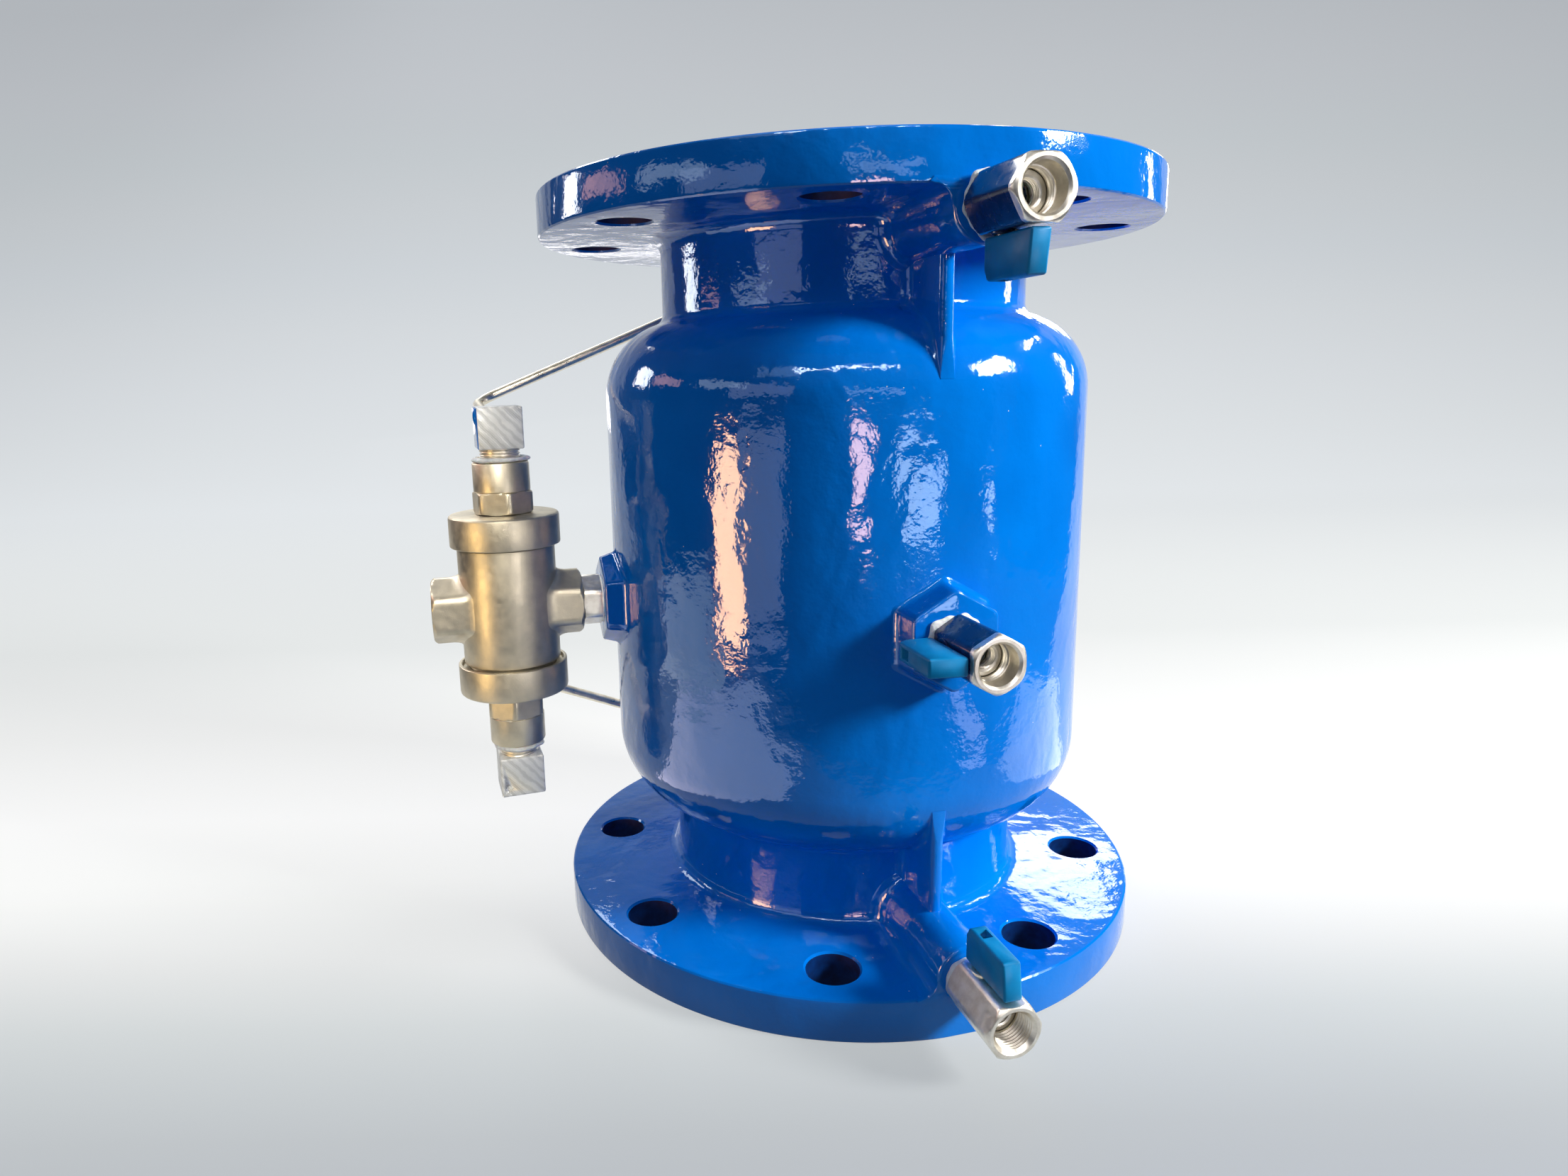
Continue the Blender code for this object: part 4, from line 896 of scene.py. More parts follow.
# %% Tape at the roots
def tape_ring(name, place, radius, thick, low, high, phase):
    """A few uneven turns of white tape, squeezed out round a thread."""
    steps = 90
    turn = np.linspace(0, 2 * np.pi, steps, endpoint=False)
    wave = (0.5 * np.sin(2 * turn + phase) + 0.3 * np.sin(5 * turn + 2.3 * phase)
            + 0.2 * np.sin(11 * turn + 4.1 * phase))
    middle, half = (low + high) / 2, (high - low) / 2
    rows = []
    for angle in np.linspace(0, 2 * np.pi, 12, endpoint=False):
        swell = max(0.0, math.cos(angle))
        reach = radius + thick * (0.5 + 0.5 * math.cos(angle)) + 0.5 * thick * swell * wave
        height = middle + half * math.sin(angle) * (1 + 0.25 * wave)
        rows.append(ring(reach, height, steps))
    piece(name, [skin(rows, place, loop=True)], TAPE)


tape_ring("top_cock_tape", COCKS["top"], 8.3, 3.0, -2.2, -0.1, 1.0)
tape_ring("mid_cock_tape", COCKS["mid"], 8.3, 4.1, -0.75, 0.9, 2.2)
tape_ring("bottom_cock_tape", COCKS["bottom"], 8.3, 1.6, -3.8, -0.4, 4.4)
print("tape in place at three roots")

# %% [markdown]
# ## Levers
# The levers are short moulded blocks with rounded edges, held by one sunk screw. Their outline
# is drawn as the side view and bevelled all round; the screw's pocket is cut afterwards, so
# that its edges stay crisp as a mould leaves them.

# %% Lever blocks
LEVER_SIDE = [(-7.8, 11.4), (22.1, 11.4), (19.9, 26.0), (-5.6, 26.0), (-7.8, 22.3)]
LEVER_HALF = 3.75


def lever(which):
    """One lever; the side view lies along the cock (Z) and its stem (X)."""
    place = COCKS[which] @ STEM_AT
    points = [np.array((up, side, along), float) for side in (-LEVER_HALF, LEVER_HALF)
              for along, up in LEVER_SIDE]
    count = len(LEVER_SIDE)
    faces = [tuple(range(count)), tuple(reversed(range(count, 2 * count)))]
    faces += [(i, i + count, (i + 1) % count + count, (i + 1) % count) for i in range(count)]
    made = piece(which + "_cock_lever", [(points, faces, place, 0)], PLASTIC,
                 body=which + "_cock_lever", replaces=which + "_cock_handle")
    softened(made, 1.0, 3, 20)
    carve(made, [block((20.5, -2.1, -2.8), (28, 2.1, 2.8), place)], 30)


for which in COCKS:
    lever(which)
print("levers in place")

# %% [markdown]
# ## Relief valve
# Its body and caps are stainless castings, blasted with beads. The two ports are cast on as
# hexagons with soft feet, and their mouths and the caps' rims are turned. Each port is closed as
# a skin of its own, so the slanted passages can be carved through port and body alike.

# %% Body and ports
RELIEF_X = -165.6
RELIEF_AT = (RELIEF_X, 0, PAD_Z)
RELIEF = placed(RELIEF_AT)
DRAIN = placed(RELIEF_AT, (0, 0, 1), (-1, 0, 0))
FEED = placed(RELIEF_AT, (0, 0, 1), (1, 0, 0))
RELIEF_R = 22.4
PASSAGES = [drill([(5.8, 8), (5.8, 26)], DRAIN @ Matrix.Translation((8.5, 0, 0))),
            drill([(5.8, 8), (5.8, 26)], FEED @ Matrix.Translation((-8.5, 0, 0)))]

relief_outline = [
    (20, 39.8, 0.8), (20, 29.3, 0.3), (RELIEF_R, 29.3, 0.9), (RELIEF_R, -25.7, 0.9),
    (20, -25.7, 0.3), (20, -36.2, 0.8), (13, -36.2), (13, -2, 0.3), (7.5, -2, 0.2),
    (7.5, 2, 0.2), (9.1, 2, 0.2), (9.1, 1, 0.1), (11, 1, 0.1), (11, 19), (15.5, 19), (15.5, 39.8)]
relief_casting = piece("relief_casting", [turned(relief_outline, RELIEF, 128, loop=True)],
                       CAST_STEEL, replaces="relief_body", sharp=30)
carve(relief_casting, PASSAGES, 30)


def port(name, place, reach):
    """Hexagonal port with a flared foot on the round body, a turned mouth and a thread."""
    flats = hexagon(28.0, 96, corner_ease=0.7)
    rows = [ring(4, 14.5), ring(9, 15)]
    rows += [laid_on(ring(flats + grow / 2, 0), RELIEF_R, lift)
             for grow, lift in ((4.4, -0.8), (2.6, 0.0), (1.3, 0.9), (0.5, 2.2), (0.0, 4.0))]
    rows += [ring(np.minimum(flats, limit), reach - down) for limit, down in (
        (20, 2.0), (15.6, 1.5), (14.9, 0.85), (14.2, 0.3), (13.7, 0.0))]
    rows += [ring(r, z) for r, z in ((11.7, reach), (11.3, reach - 0.2), (10.8, reach - 0.9))]
    rows += [ring(r, z) for r, z in grooves(reach - 1.2, reach - 8.5, 10.2, 10.9, 1.8)]
    rows += [ring(10.7, reach - 9.9), ring(10.3, reach - 10), ring(3, reach - 10)]
    points, faces, place, material = skin(rows, place, cap=True)
    faces.append(tuple(range(96)))
    made = piece(name, [(points, faces, place, material)], CAST_STEEL, sharp=26)
    carve(made, PASSAGES, 26)


port("drain_port", DRAIN, 35.0)
port("relief_feed_port", FEED, 33.6)
print("relief body and ports in place")

# %% Caps
CAP_PROFILE = [(8, 14.5, 0.3), (25.3, 14.5, 1.7), (25.3, 0, 0.9), (23.7, 0, 0.3), (23.3, 1.9, 0.1),
               (20.3, 1.9, 0.1), (20.3, 11, 0.3), (8, 11)]
CAP_PLACES = {"upper": placed((RELIEF_X, 0, PAD_Z + 29.6)),
              "lower": placed((RELIEF_X, 0, PAD_Z - 26.0), z_axis=(0, 0, -1))}
for which, place in CAP_PLACES.items():
    piece("relief_" + which + "_cap_turned", [turned(CAP_PROFILE, place, 128, loop=True)],
          CAST_STEEL, replaces="relief_" + which + "_cap", sharp=30)
print("caps in place")

# %% [markdown]
# ## Hexagons and outside threads
# On a real fitting the bar is chucked and its ends are turned, so the chamfer cuts each corner in
# a curve and leaves the flats alone. Taking the smaller of the hexagon's radius and the turned
# one gives that curve at once, where a bevel would cut straight across the corners.

# %% Nipple
NIPPLE = placed((-RELIEF_REACH, 0, PAD_Z), (0, 0, 1), (-1, 0, 0))


def hex_rows(flats, low, high, chamfer=0.9, steps=96, turn=0.0):
    """Rows of a hexagon whose corners are turned off at both ends."""
    shape = hexagon(flats, steps, turn, 0.35)
    half, corner = flats / 2, flats / math.sqrt(3)
    cut = [(corner - chamfer * 1.6, 0.0), (corner - chamfer * 0.7, 0.35 * chamfer),
           (corner, 0.9 * chamfer)]
    ends = [(np.minimum(shape, max(limit, half - 0.1)), up) for limit, up in cut]
    return ([(shaped, low + up) for shaped, up in ends]
            + [(shaped, high - up) for shaped, up in reversed(ends)])


def threaded(start, stop, radius, pitch=1.6, depth=0.75):
    """Rows of an outside thread between two heights."""
    return grooves(start, stop, radius - depth, radius, pitch)


rows = ([(7, -9), (9.6, -9)] + threaded(-8.6, 0.1, 10.4) + hex_rows(21.5, 0.3, 9.2)
        + threaded(9.4, 18.2, 10.4) + [(9.6, 18.5), (7, 18.5)])
piece("feed_nipple", [skin([ring(r, z) for r, z in rows], NIPPLE, loop=True)], NICKEL,
      replaces="relief_nipple", sharp=28)
tape_ring("feed_nipple_tape", NIPPLE, 9.8, 1.7, -0.5, 0.5, 3.1)
print("nipple in place")

# %% [markdown]
# ## Adapters, elbows and sense lines
# A reducing adapter stands in each cap, and in it an elbow that was sawn from square bar, so its
# faces carry slanting saw marks. Paint has run over one side of the upper elbow, and the lower
# one has a chip. The tubes are drawn stainless steel, bent by hand round a former.

# %% Adapters
BACK = Vector((-8, 116, 0)).normalized()
SIDEWAYS = (BACK.y, -BACK.x, 0)
PORT_Z = {"upper": 44.1, "lower": -40.5}
PORTS = {"upper": placed((RELIEF_X, 0, PAD_Z + PORT_Z["upper"]), SIDEWAYS, (0, 0, 1)),
         "lower": placed((RELIEF_X, 0, PAD_Z + PORT_Z["lower"]), SIDEWAYS, (0, 0, -1))}
HEX_TOP = {"upper": 10.3, "lower": 12.3}
SLEEVE_H = 13.5
NECK_H = 6.0
ELBOW_W = 20.5
ELBOW_H = 19.0


def adapter(which):
    """Reducing adapter: a hexagon with a round sleeve that the elbow's neck stands in."""
    top = HEX_TOP[which]
    sleeve = top + SLEEVE_H
    rows = ([(4.2, -3.5), (7.7, -3.5), (7.7, 0.25)] + hex_rows(25.0, 0.3, top, 1.1, turn=22)
            + [(12.6, top + 0.02), (12.9, top + 0.4), (12.9, sleeve - 0.9), (12.6, sleeve - 0.3),
               (12.0, sleeve), (10.0, sleeve), (9.5, sleeve - 0.5), (9.5, top), (4.2, top)])
    piece(which + "_adapter_turned", [skin([ring(r, z) for r, z in rows], PORTS[which],
                                           loop=True)], CAST_STEEL,
          replaces=which + "_adapter", sharp=28)


for which in PORTS:
    adapter(which)
print("adapters in place")

# %% Elbows
def elbow(which):
    """Sawn block with a threaded neck below it; returns the frame of its rear port."""
    low = HEX_TOP[which] + SLEEVE_H + NECK_H
    half = ELBOW_W / 2
    place = PORTS[which]
    made = piece(which + "_elbow_block", [block((-half, -half, low), (half, half, low + ELBOW_H),
                                                place)], [ALUMINIUM, ENAMEL],
                 replaces=which + "_elbow")
    rear = 1 if which == "upper" else -1
    middle = Matrix.Translation((0, 0, low + ELBOW_H / 2)) @ Matrix.Rotation(
        -rear * math.pi / 2, 4, "X")
    cutters = [drill([(4.9, 1), (4.9, half + 2)], place @ middle)]
    if which == "lower":
        chip = place @ Matrix.Translation((-6.6, half + 0.1, low + ELBOW_H - 4.6)) @ (
            Matrix.Rotation(0.6, 4, "Y"))
        cutters.append(block((-1.4, -1.2, -1.0), (1.2, 1.2, 1.1), chip))
        cutters.append(block((-0.6, -0.8, -2.2), (0.5, 1.2, 0.2), chip))
    softened(made, 0.8, 3, 30)
    for cutter in cutters:
        carve(made, [cutter], 35)
    if which == "upper":
        repaint(made, place, lambda at, _: at.x < -half + 0.55)
    start = HEX_TOP[which] + 2
    rows = [(4.2, start), (8.4, start)] + threaded(start + 0.3, low - 0.4, 9.2, 1.4, 0.7)
    rows += [(9.0, low + 0.8), (4.2, low + 0.8)]
    piece(which + "_elbow_neck", [skin([ring(r, z) for r, z in rows], place, loop=True)], NICKEL,
          sharp=28)
    return place @ middle


REAR_PORTS = {which: elbow(which) for which in PORTS}
print("elbows in place")

# %% Paint that ran over the upper elbow
lump_place = PORTS["upper"] @ Matrix.Translation((-ELBOW_W / 2 + 0.4, -3.5, 44.5))
lump_rows = [ring(2.6 * math.sin(a), 0) * (0.55, 1.0, 1) + (0, 0, -4.2 * math.cos(a))
             for a in np.linspace(0, math.pi, 14)]
piece("upper_paint_lump", [skin(lump_rows, lump_place)], ENAMEL)
tape_ring("upper_elbow_tape", PORTS["upper"], 9.2, 3.4, 23.9, 26.0, 0.7)
tape_ring("lower_elbow_tape", PORTS["lower"], 9.2, 3.0, 25.9, 28.3, 5.2)
print("paint lump and elbow tape in place")

# %% Tube nuts and connectors
def tube_nut(which):
    """Hexagon nut on the elbow's rear port; Z of its frame points along the tube."""
    low = ELBOW_W / 2 + 0.3
    rows = ([(3.0, 5.3), (4.6, 5.3), (4.6, low)] + hex_rows(14.0, low, low + 9.0, 0.8, 72)
            + [(5.4, low + 9.0), (3.4, low + 9.0), (3.0, low + 8.6)])
    piece(which + "_tube_nut_turned", [skin([ring(r, z, 72) for r, z in rows],
                                            REAR_PORTS[which], loop=True)], NICKEL,
          replaces=which + "_tube_nut", sharp=28)


def connector(which):
    """Straight fitting on the neck's boss, with a hexagon and a nut."""
    at = Vector(RADIAL) * CONNECTOR_REACH + Vector((0, 0, CONNECTOR_Z[which]))
    rows = ([(2.0, -11), (6.5, -11), (6.5, 0.2)] + hex_rows(17.0, 0.3, 8.2, 0.9, 72)
            + [(6.0, 8.3)] + hex_rows(14.0, 8.5, 17.3, 0.8, 72)
            + [(5.4, 17.3), (3.4, 17.3), (3.0, 16.9), (3.0, 0.3), (2.0, 0.3)])
    piece(which + "_connector_turned", [skin([ring(r, z, 72) for r, z in rows],
                                             placed(at, (0, 0, 1), RADIAL), loop=True)],
          NICKEL, replaces=which + "_connector", sharp=28)


for which in PORTS:
    tube_nut(which)
    connector(which)
print("nuts and connectors in place")

# %% [markdown]
# ## Sense lines
# Two thin tubes carry the pressure of inlet and outlet to the relief valve's ends. They are bent
# cold round a former, so they run straight between arcs of one radius. A curve through smoothed
# points would sag like a hose; here every corner is replaced by a true arc.

# %% Sense lines
TUBE_R = 2.7
BEND_R = 12.0
RISE = {"upper": 8.5, "lower": 17.0}


def bent(corners, radius, steps=10):
    """A route with straight runs and an arc at each inner corner."""
    corners = [Vector(corner) for corner in corners]
    route = [corners[0]]
    for before, corner, after in zip(corners, corners[1:], corners[2:]):
        into, out = (before - corner).normalized(), (after - corner).normalized()
        half = into.angle(out) / 2
        setback = radius / math.tan(half)
        centre = corner + (into + out).normalized() * radius / math.sin(half)
        first, last = corner + into * setback - centre, corner + out * setback - centre
        for i in range(steps + 1):
            route.append(centre + first.slerp(last, i / steps).normalized() * radius)
    return route + [corners[-1]]


def wire_curve(name, route, radius, material):
    """A round wire along a route of world points."""
    data = bpy.data.curves.new(name, "CURVE")
    data.dimensions = "3D"
    data.bevel_depth = radius * MM
    data.bevel_resolution = 6
    data.use_fill_caps = True
    spline = data.splines.new("POLY")
    spline.points.add(len(route) - 1)
    for point, at in zip(spline.points, route):
        point.co = (*at, 1)
    spline.use_smooth = True
    data.materials.append(material)
    made = bpy.data.objects.new(name, data)
    bpy.context.scene.collection.objects.link(made)
    return made


def sense_line(which):
    """Tube from the elbow's nut past the barrel to the connector on the neck."""
    up = 1 if which == "upper" else -1
    middle = HEX_TOP[which] + SLEEVE_H + NECK_H + ELBOW_H / 2
    port = Vector((RELIEF_X, 0, PAD_Z + PORT_Z[which] + up * middle))
    height = Vector((0, 0, CONNECTOR_Z[which]))
    route = bent([port + BACK * 6.25, port + BACK * 28.25, (-173.6, 116, port.z + RISE[which]),
                  Vector(RADIAL) * 135.4 + height, Vector(RADIAL) * 96 + height], BEND_R)
    made = wire_curve(which + "_tube", [VALVE @ at for at in route], TUBE_R, TUBE)
    settle(made, "casting", which + "_sense_tube")


for which in PORTS:
    sense_line(which)
print("sense lines in place")

# %% [markdown]
# ## Check cartridges
# Each check is a cartridge of turned bronze and stainless pieces that is dropped into the bore.
# They show through the inlet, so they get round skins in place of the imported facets. The cage's
# windows are cut one by one, because cutters that touch each other would confuse the Boolean.

# %% Seats, gaskets and bushes
SEATS = {"inlet_check": 296.0, "outlet_check": 108.9}
GASKET_LOW = {"inlet_check": 4.3, "outlet_check": 15.3}
CHECKS = {name: placed((0, 0, seat)) for name, seat in SEATS.items()}


def seat_pieces(name, place):
    """Seat ring with its rounded lip, gasket and guide bush."""
    gasket_place = place @ Matrix.Translation((0, 0, GASKET_LOW[name]))
    piece(name + "_seat_turned", [turned([
        (59.6, 15, 0.3), (74.4, 15, 0.5), (74.4, 6.1, 0.4), (61.5, 6.1, 0.5), (61.5, 0.5, 0.4),
        (60.5, 0, 0.4), (58, 0, 0.4), (58, 12.5, 1.5)], place, 128, loop=True)], BRONZE,
          replaces=name + "_seat_ring", sharp=30)
    piece(name + "_gasket_cut", [turned([(70.3, 0), (74.4, 0), (74.4, 1.5), (70.3, 1.5)],
                                        gasket_place, 128, 0.15, loop=True)], RUBBER,
          replaces=name + "_gasket", sharp=30)
    piece(name + "_bush_turned", [turned([(7.1, -64, 0.5), (9.5, -64, 0.3), (9.5, -46, 0.3),
                                          (7.1, -46, 0.5)], place, 64, loop=True)], BRONZE,
          replaces=name + "_bush", sharp=30)


for name, place in CHECKS.items():
    seat_pieces(name, place)
print("seats, gaskets and bushes in place")

# %% Cages
def cage(name, place):
    """Ring under the seat with four legs, and a spider that carries the bush."""
    quarters = [place @ Matrix.Rotation(math.radians(45 + 90 * i), 4, "Z") for i in range(4)]
    made = piece(name + "_cage_ring", [turned([
        (63, 5.8), (69.4, 5.8), (69.4, -61, 0.8), (65.4, -61, 0.8), (65.4, 0.1), (63, 0.1)],
        place, 96, loop=True)], STEEL, replaces=name + "_cage", sharp=30)
    for quarter in quarters:
        carve(made, [block((6, 6, -67), (74, 74, 0.1), quarter)], 30)
    hub = turned([(9.8, -64), (13, -64, 0.6), (13, -46, 0.6), (9.8, -46)], place, 64, loop=True)
    arms = [block((12.2, -5, -62), (66, 5, -53), quarter) for quarter in quarters]
    softened(piece(name + "_spider", [hub] + arms, STEEL, sharp=30), 0.4, 2, 50)


for name, place in CHECKS.items():
    cage(name, place)
print("cages in place")

# %% Discs
def poppet(name, place):
    """Disc with stem, seal, clamp plate and nut, which move together."""
    body = name + "_poppet"
    low, back = -71, -14
    piece(name + "_disc_turned", [turned([
        (0, 12.1), (5, 12.1, 0.7), (5, 0), (49.7, 0), (49.7, -5.6), (62.5, -5.6, 0.4),
        (62.5, -11, 0.8), (59.5, back, 0.8), (20, back, 0.6), (20, back - 4, 0.6),
        (7, back - 4, 1), (7, low, 0.8), (0, low)], place, 96)], STEEL, body,
        name + "_disc", 30)
    piece(name + "_seal_ring", [turned([(50, -5.3), (62, -5.3), (62, -0.3), (50, -0.3)], place,
                                       96, 0.3, loop=True)], RUBBER, body,
          name + "_disc_seal", 30)
    piece(name + "_plate_turned", [turned([(5.3, 3.3), (54, 3.3, 0.3), (55, 2.3, 0.3), (55, 0.3),
                                           (5.3, 0.3)], place, 96, loop=True)], STEEL, body,
          name + "_seal_plate", 30)
    rows = [(5.3, 3.6)] + hex_rows(17.0, 3.6, 10.6, 0.9, 72) + [(5.3, 10.6)]
    piece(name + "_nut_turned", [skin([ring(r, z, 72) for r, z in rows], place, loop=True)],
          STEEL, body, name + "_stem_nut", 28)


for name, place in CHECKS.items():
    poppet(name, place)
print("discs in place")

# %% [markdown]
# ## Springs
# Three coil springs push the two discs shut and the relief valve open. Each is a curve with a
# round bevel, turned into a mesh.

# %% Springs
CLEARANCE = 0.3
TURNS = 3.5
CHECK_SPRING = (24, 1.5, -53.0, -14.3)


def hardened(wire):
    """The same wire, turned into a mesh."""
    graph = bpy.context.evaluated_depsgraph_get()
    mesh = bpy.data.meshes.new_from_object(wire.evaluated_get(graph))
    name = wire.name
    bpy.data.objects.remove(wire, do_unlink=True)
    made = bpy.data.objects.new(name, mesh)
    bpy.context.scene.collection.objects.link(made)
    return made


def spring(node, place, sizes):
    """Open coil with flat end turns; sizes are its radius, its wire's, its seat and its top."""
    radius, wire_r, seat, top = sizes
    steps = 48
    count = int(TURNS * steps)
    low, high = seat + CLEARANCE + wire_r, top - wire_r
    route = []
    for i in range(count + 1):
        angle = 2 * math.pi * i / steps
        climb = min(max((i - steps / 2) / (count - steps), 0), 1)
        route.append(place @ Vector((radius * math.cos(angle), radius * math.sin(angle),
                                     low + (high - low) * climb)))
    made = hardened(wire_curve(node + "_wire", route, wire_r, STEEL))
    settle(made, "casting", node)
    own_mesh(made)


for name, place in CHECKS.items():
    spring(name + "_spring", place, CHECK_SPRING)
relief_low, relief_high = (corner[2] / MM - PAD_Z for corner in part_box("relief_spring"))
spring("relief_spring", RELIEF, (13.25, 0.9, relief_low - CLEARANCE, relief_high))

# %% [markdown]
# ## Finishes of the pieces that stay as packed
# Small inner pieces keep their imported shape: nobody sees more of them than a glint through a
# port. They still need their true metal or rubber, so each packed slot is pointed at a finish by
# the name of its material.

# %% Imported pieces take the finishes
FINISHES = {"blue_enamel": ENAMEL, "bronze": BRONZE, "stainless": STEEL,
            "cast_stainless": CAST_STEEL, "sawn_aluminium": ALUMINIUM, "nickel_plate": NICKEL,
            "black_rubber": RUBBER, "white_ptfe": TAPE, "blue_plastic": PLASTIC}
for name, node in frame["nodes"].items():
    for slot in node.material_slots:
        base = slot.material.name.split(".")[0]
        finish_name = next((key for key in FINISHES if base.startswith(key)), None)
        if finish_name is None:
            print("no finish for", name, base)
            continue
        slot.material = FINISHES[finish_name]
print("packed nodes dressed:", len(frame["nodes"]))

# %% [markdown]
# ## Floor and backdrop
# The photograph has a pale grey studio sweep, lightest behind the foot of the object. One sheet
# runs along the floor and rises behind in a long curve, so no horizon shows. Its shade goes with
# the place on the sheet, and most of it is seen as plain light by the camera and in reflections,
# so that the paper stays even while the object's shadow still falls on it. The sheet is a wedge
# that just fills the photograph's view, because glossy paint mirrors what lies beside the camera,
# and there it has to find the dark. A round pale room that only the camera sees gives all other
# views the same ground.

# %% A paper sweep
VIEW = Vector((0.2386, 0.9711, 0))
SIDE = Vector((VIEW.y, -VIEW.x, 0))
CAMERA_BACK = 0.494
BEND_START = 1.3
BEND = 0.9


def stage_mesh(name, points, faces, material):
    """A sheet that belongs to the studio and not to the valve."""
    mesh = bpy.data.meshes.new(name)
    mesh.from_pydata(points, [], faces)
    mesh.shade_smooth()
    mesh.materials.append(material)
    sheet = bpy.data.objects.new(name, mesh)
    bpy.context.scene.collection.objects.link(sheet)
    return sheet


def flat_sheet(name, rows, material):
    """A stage sheet over rows of two points, in metres from the axis."""
    points = [AXIS + Vector(point) for row in rows for point in row]
    faces = [(2 * i, 2 * i + 1, 2 * i + 3, 2 * i + 2) for i in range(len(rows) - 1)]
    return stage_mesh(name, points, faces, material)


def paper_rows():
    """Both edges of the paper from the front along the floor and up behind."""
    profile = [(0.2, 0), (BEND_START, 0)]
    for i in range(1, 17):
        angle = math.radians(90 * i / 16)
        profile.append((BEND_START + BEND * math.sin(angle), BEND - BEND * math.cos(angle)))
    profile.append((BEND_START + BEND, 3.2))
    rows = [[VIEW * -0.45 - SIDE * 0.40, VIEW * -0.25 + SIDE * 0.22]]
    for along, up in profile:
        reach = along + CAMERA_BACK
        edges = (-0.11 - 0.80 * reach, -0.01 + 0.93 * reach)
        rows.append([VIEW * along + SIDE * across + Vector((0, 0, up)) for across in edges])
    return rows


print("paper of", len(paper_rows()), "rows")

# %% Shades of the paper
RUN_START = -0.6
RUN_LENGTH = 4.0
PAPER_GLOW = 0.8


def paper_run(finish):
    """How far along the floor and up the back a point of the paper is, from 0 to 1."""
    parts = finish.nodes.new("ShaderNodeSeparateXYZ")
    finish.links.new(finish.here, parts.inputs["Vector"])
    along = finish.math("ADD", finish.math("MULTIPLY", parts.outputs["X"], VIEW.x),
                        finish.math("MULTIPLY", parts.outputs["Y"], VIEW.y))
    run = finish.math("ADD", along, parts.outputs["Z"])
    return finish.math("DIVIDE", finish.math("ADD", run, -RUN_START), RUN_LENGTH)


TONES = [(-0.30, (0.42, 0.455, 0.54)), (-0.17, (0.475, 0.50, 0.52)), (-0.14, (0.53, 0.56, 0.575)),
         (-0.10, (0.61, 0.64, 0.645)), (-0.05, (0.755, 0.765, 0.76)), (0.02, (0.93, 0.935, 0.92)),
         (0.10, (1.0, 1.0, 0.99)), (0.25, (0.885, 0.89, 0.88)), (0.50, (0.755, 0.775, 0.77)),
         (1.50, (0.75, 0.78, 0.80)), (1.90, (0.71, 0.74, 0.76)), (2.20, (0.68, 0.71, 0.735)),
         (2.45, (0.65, 0.68, 0.705)), (2.70, (0.605, 0.64, 0.67)), (2.90, (0.58, 0.61, 0.635)),
         (3.05, (0.55, 0.585, 0.61)), (3.22, (0.53, 0.555, 0.585)), (3.40, (0.495, 0.52, 0.55))]
paper = Finish("paper", Roughness=0.9, Specular_IOR_Level=0.1)
tone = paper.ramp(paper_run(paper), *[((run - RUN_START) / RUN_LENGTH, shade)
                                      for run, shade in TONES])
paper.set("Base Color", paper.mix(0.7, tone, (0.0, 0.0, 0.0)))
rays = paper.nodes.new("ShaderNodeLightPath")
seen = paper.math("MAXIMUM", rays.outputs["Is Camera Ray"],
                  paper.math("MAXIMUM", rays.outputs["Is Glossy Ray"],
                             rays.outputs["Is Transmission Ray"]))
paper.set("Emission Color", tone)
paper.set("Emission Strength", paper.math("MULTIPLY", seen, PAPER_GLOW))
flat_sheet("paper_sweep", paper_rows(), paper.material)
print("paper laid in", len(TONES), "shades")

# %% The pale room
ROOM_R = 4600
ROOM_BEND = 900


def pale_room():
    """A round pale room that only the camera sees, so that every view has a pale ground."""
    points, faces, place, _ = turned([(1, -1.5), (ROOM_R, -1.5, ROOM_BEND), (ROOM_R, 6000)],
                                     VALVE, 64, ROOM_BEND)
    made = stage_mesh("pale_room", [place @ Vector(p) for p in points], faces, paper.material)
    made.visible_diffuse = False
    made.visible_glossy = False
    made.visible_transmission = False
    made.visible_shadow = False


pale_room()
print("pale room stands at", ROOM_R, "mm")

# %% [markdown]
# ## Light
# Glossy paint is a mirror: in the photograph it is deep blue where it mirrors a dark room, and
# pink, lilac or white where it mirrors a window. A bright room full of soft boxes would wash the
# blue out. So the sky is dimmer in reflections, and the shading comes from one key lamp at the
# right and a few weak soft ones.

# %% World light
SKY = 0.24
MIRRORED_SKY = 0.10
world = bpy.context.scene.world or bpy.data.worlds.new("studio")
bpy.context.scene.world = world
world.use_nodes = True
sky = world.node_tree.nodes["Background"]
sky.inputs["Color"].default_value = (0.80, 0.88, 1.0, 1.0)
sky.inputs["Strength"].default_value = SKY
sky_rays = world.node_tree.nodes.new("ShaderNodeLightPath")
dim = world.node_tree.nodes.new("ShaderNodeMath")
dim.operation = "MULTIPLY_ADD"
world.node_tree.links.new(sky_rays.outputs["Is Glossy Ray"], dim.inputs[0])
dim.inputs[1].default_value = MIRRORED_SKY - SKY
dim.inputs[2].default_value = SKY
world.node_tree.links.new(dim.outputs["Value"], sky.inputs["Strength"])
print("sky at", SKY, "and in reflections at", MIRRORED_SKY)

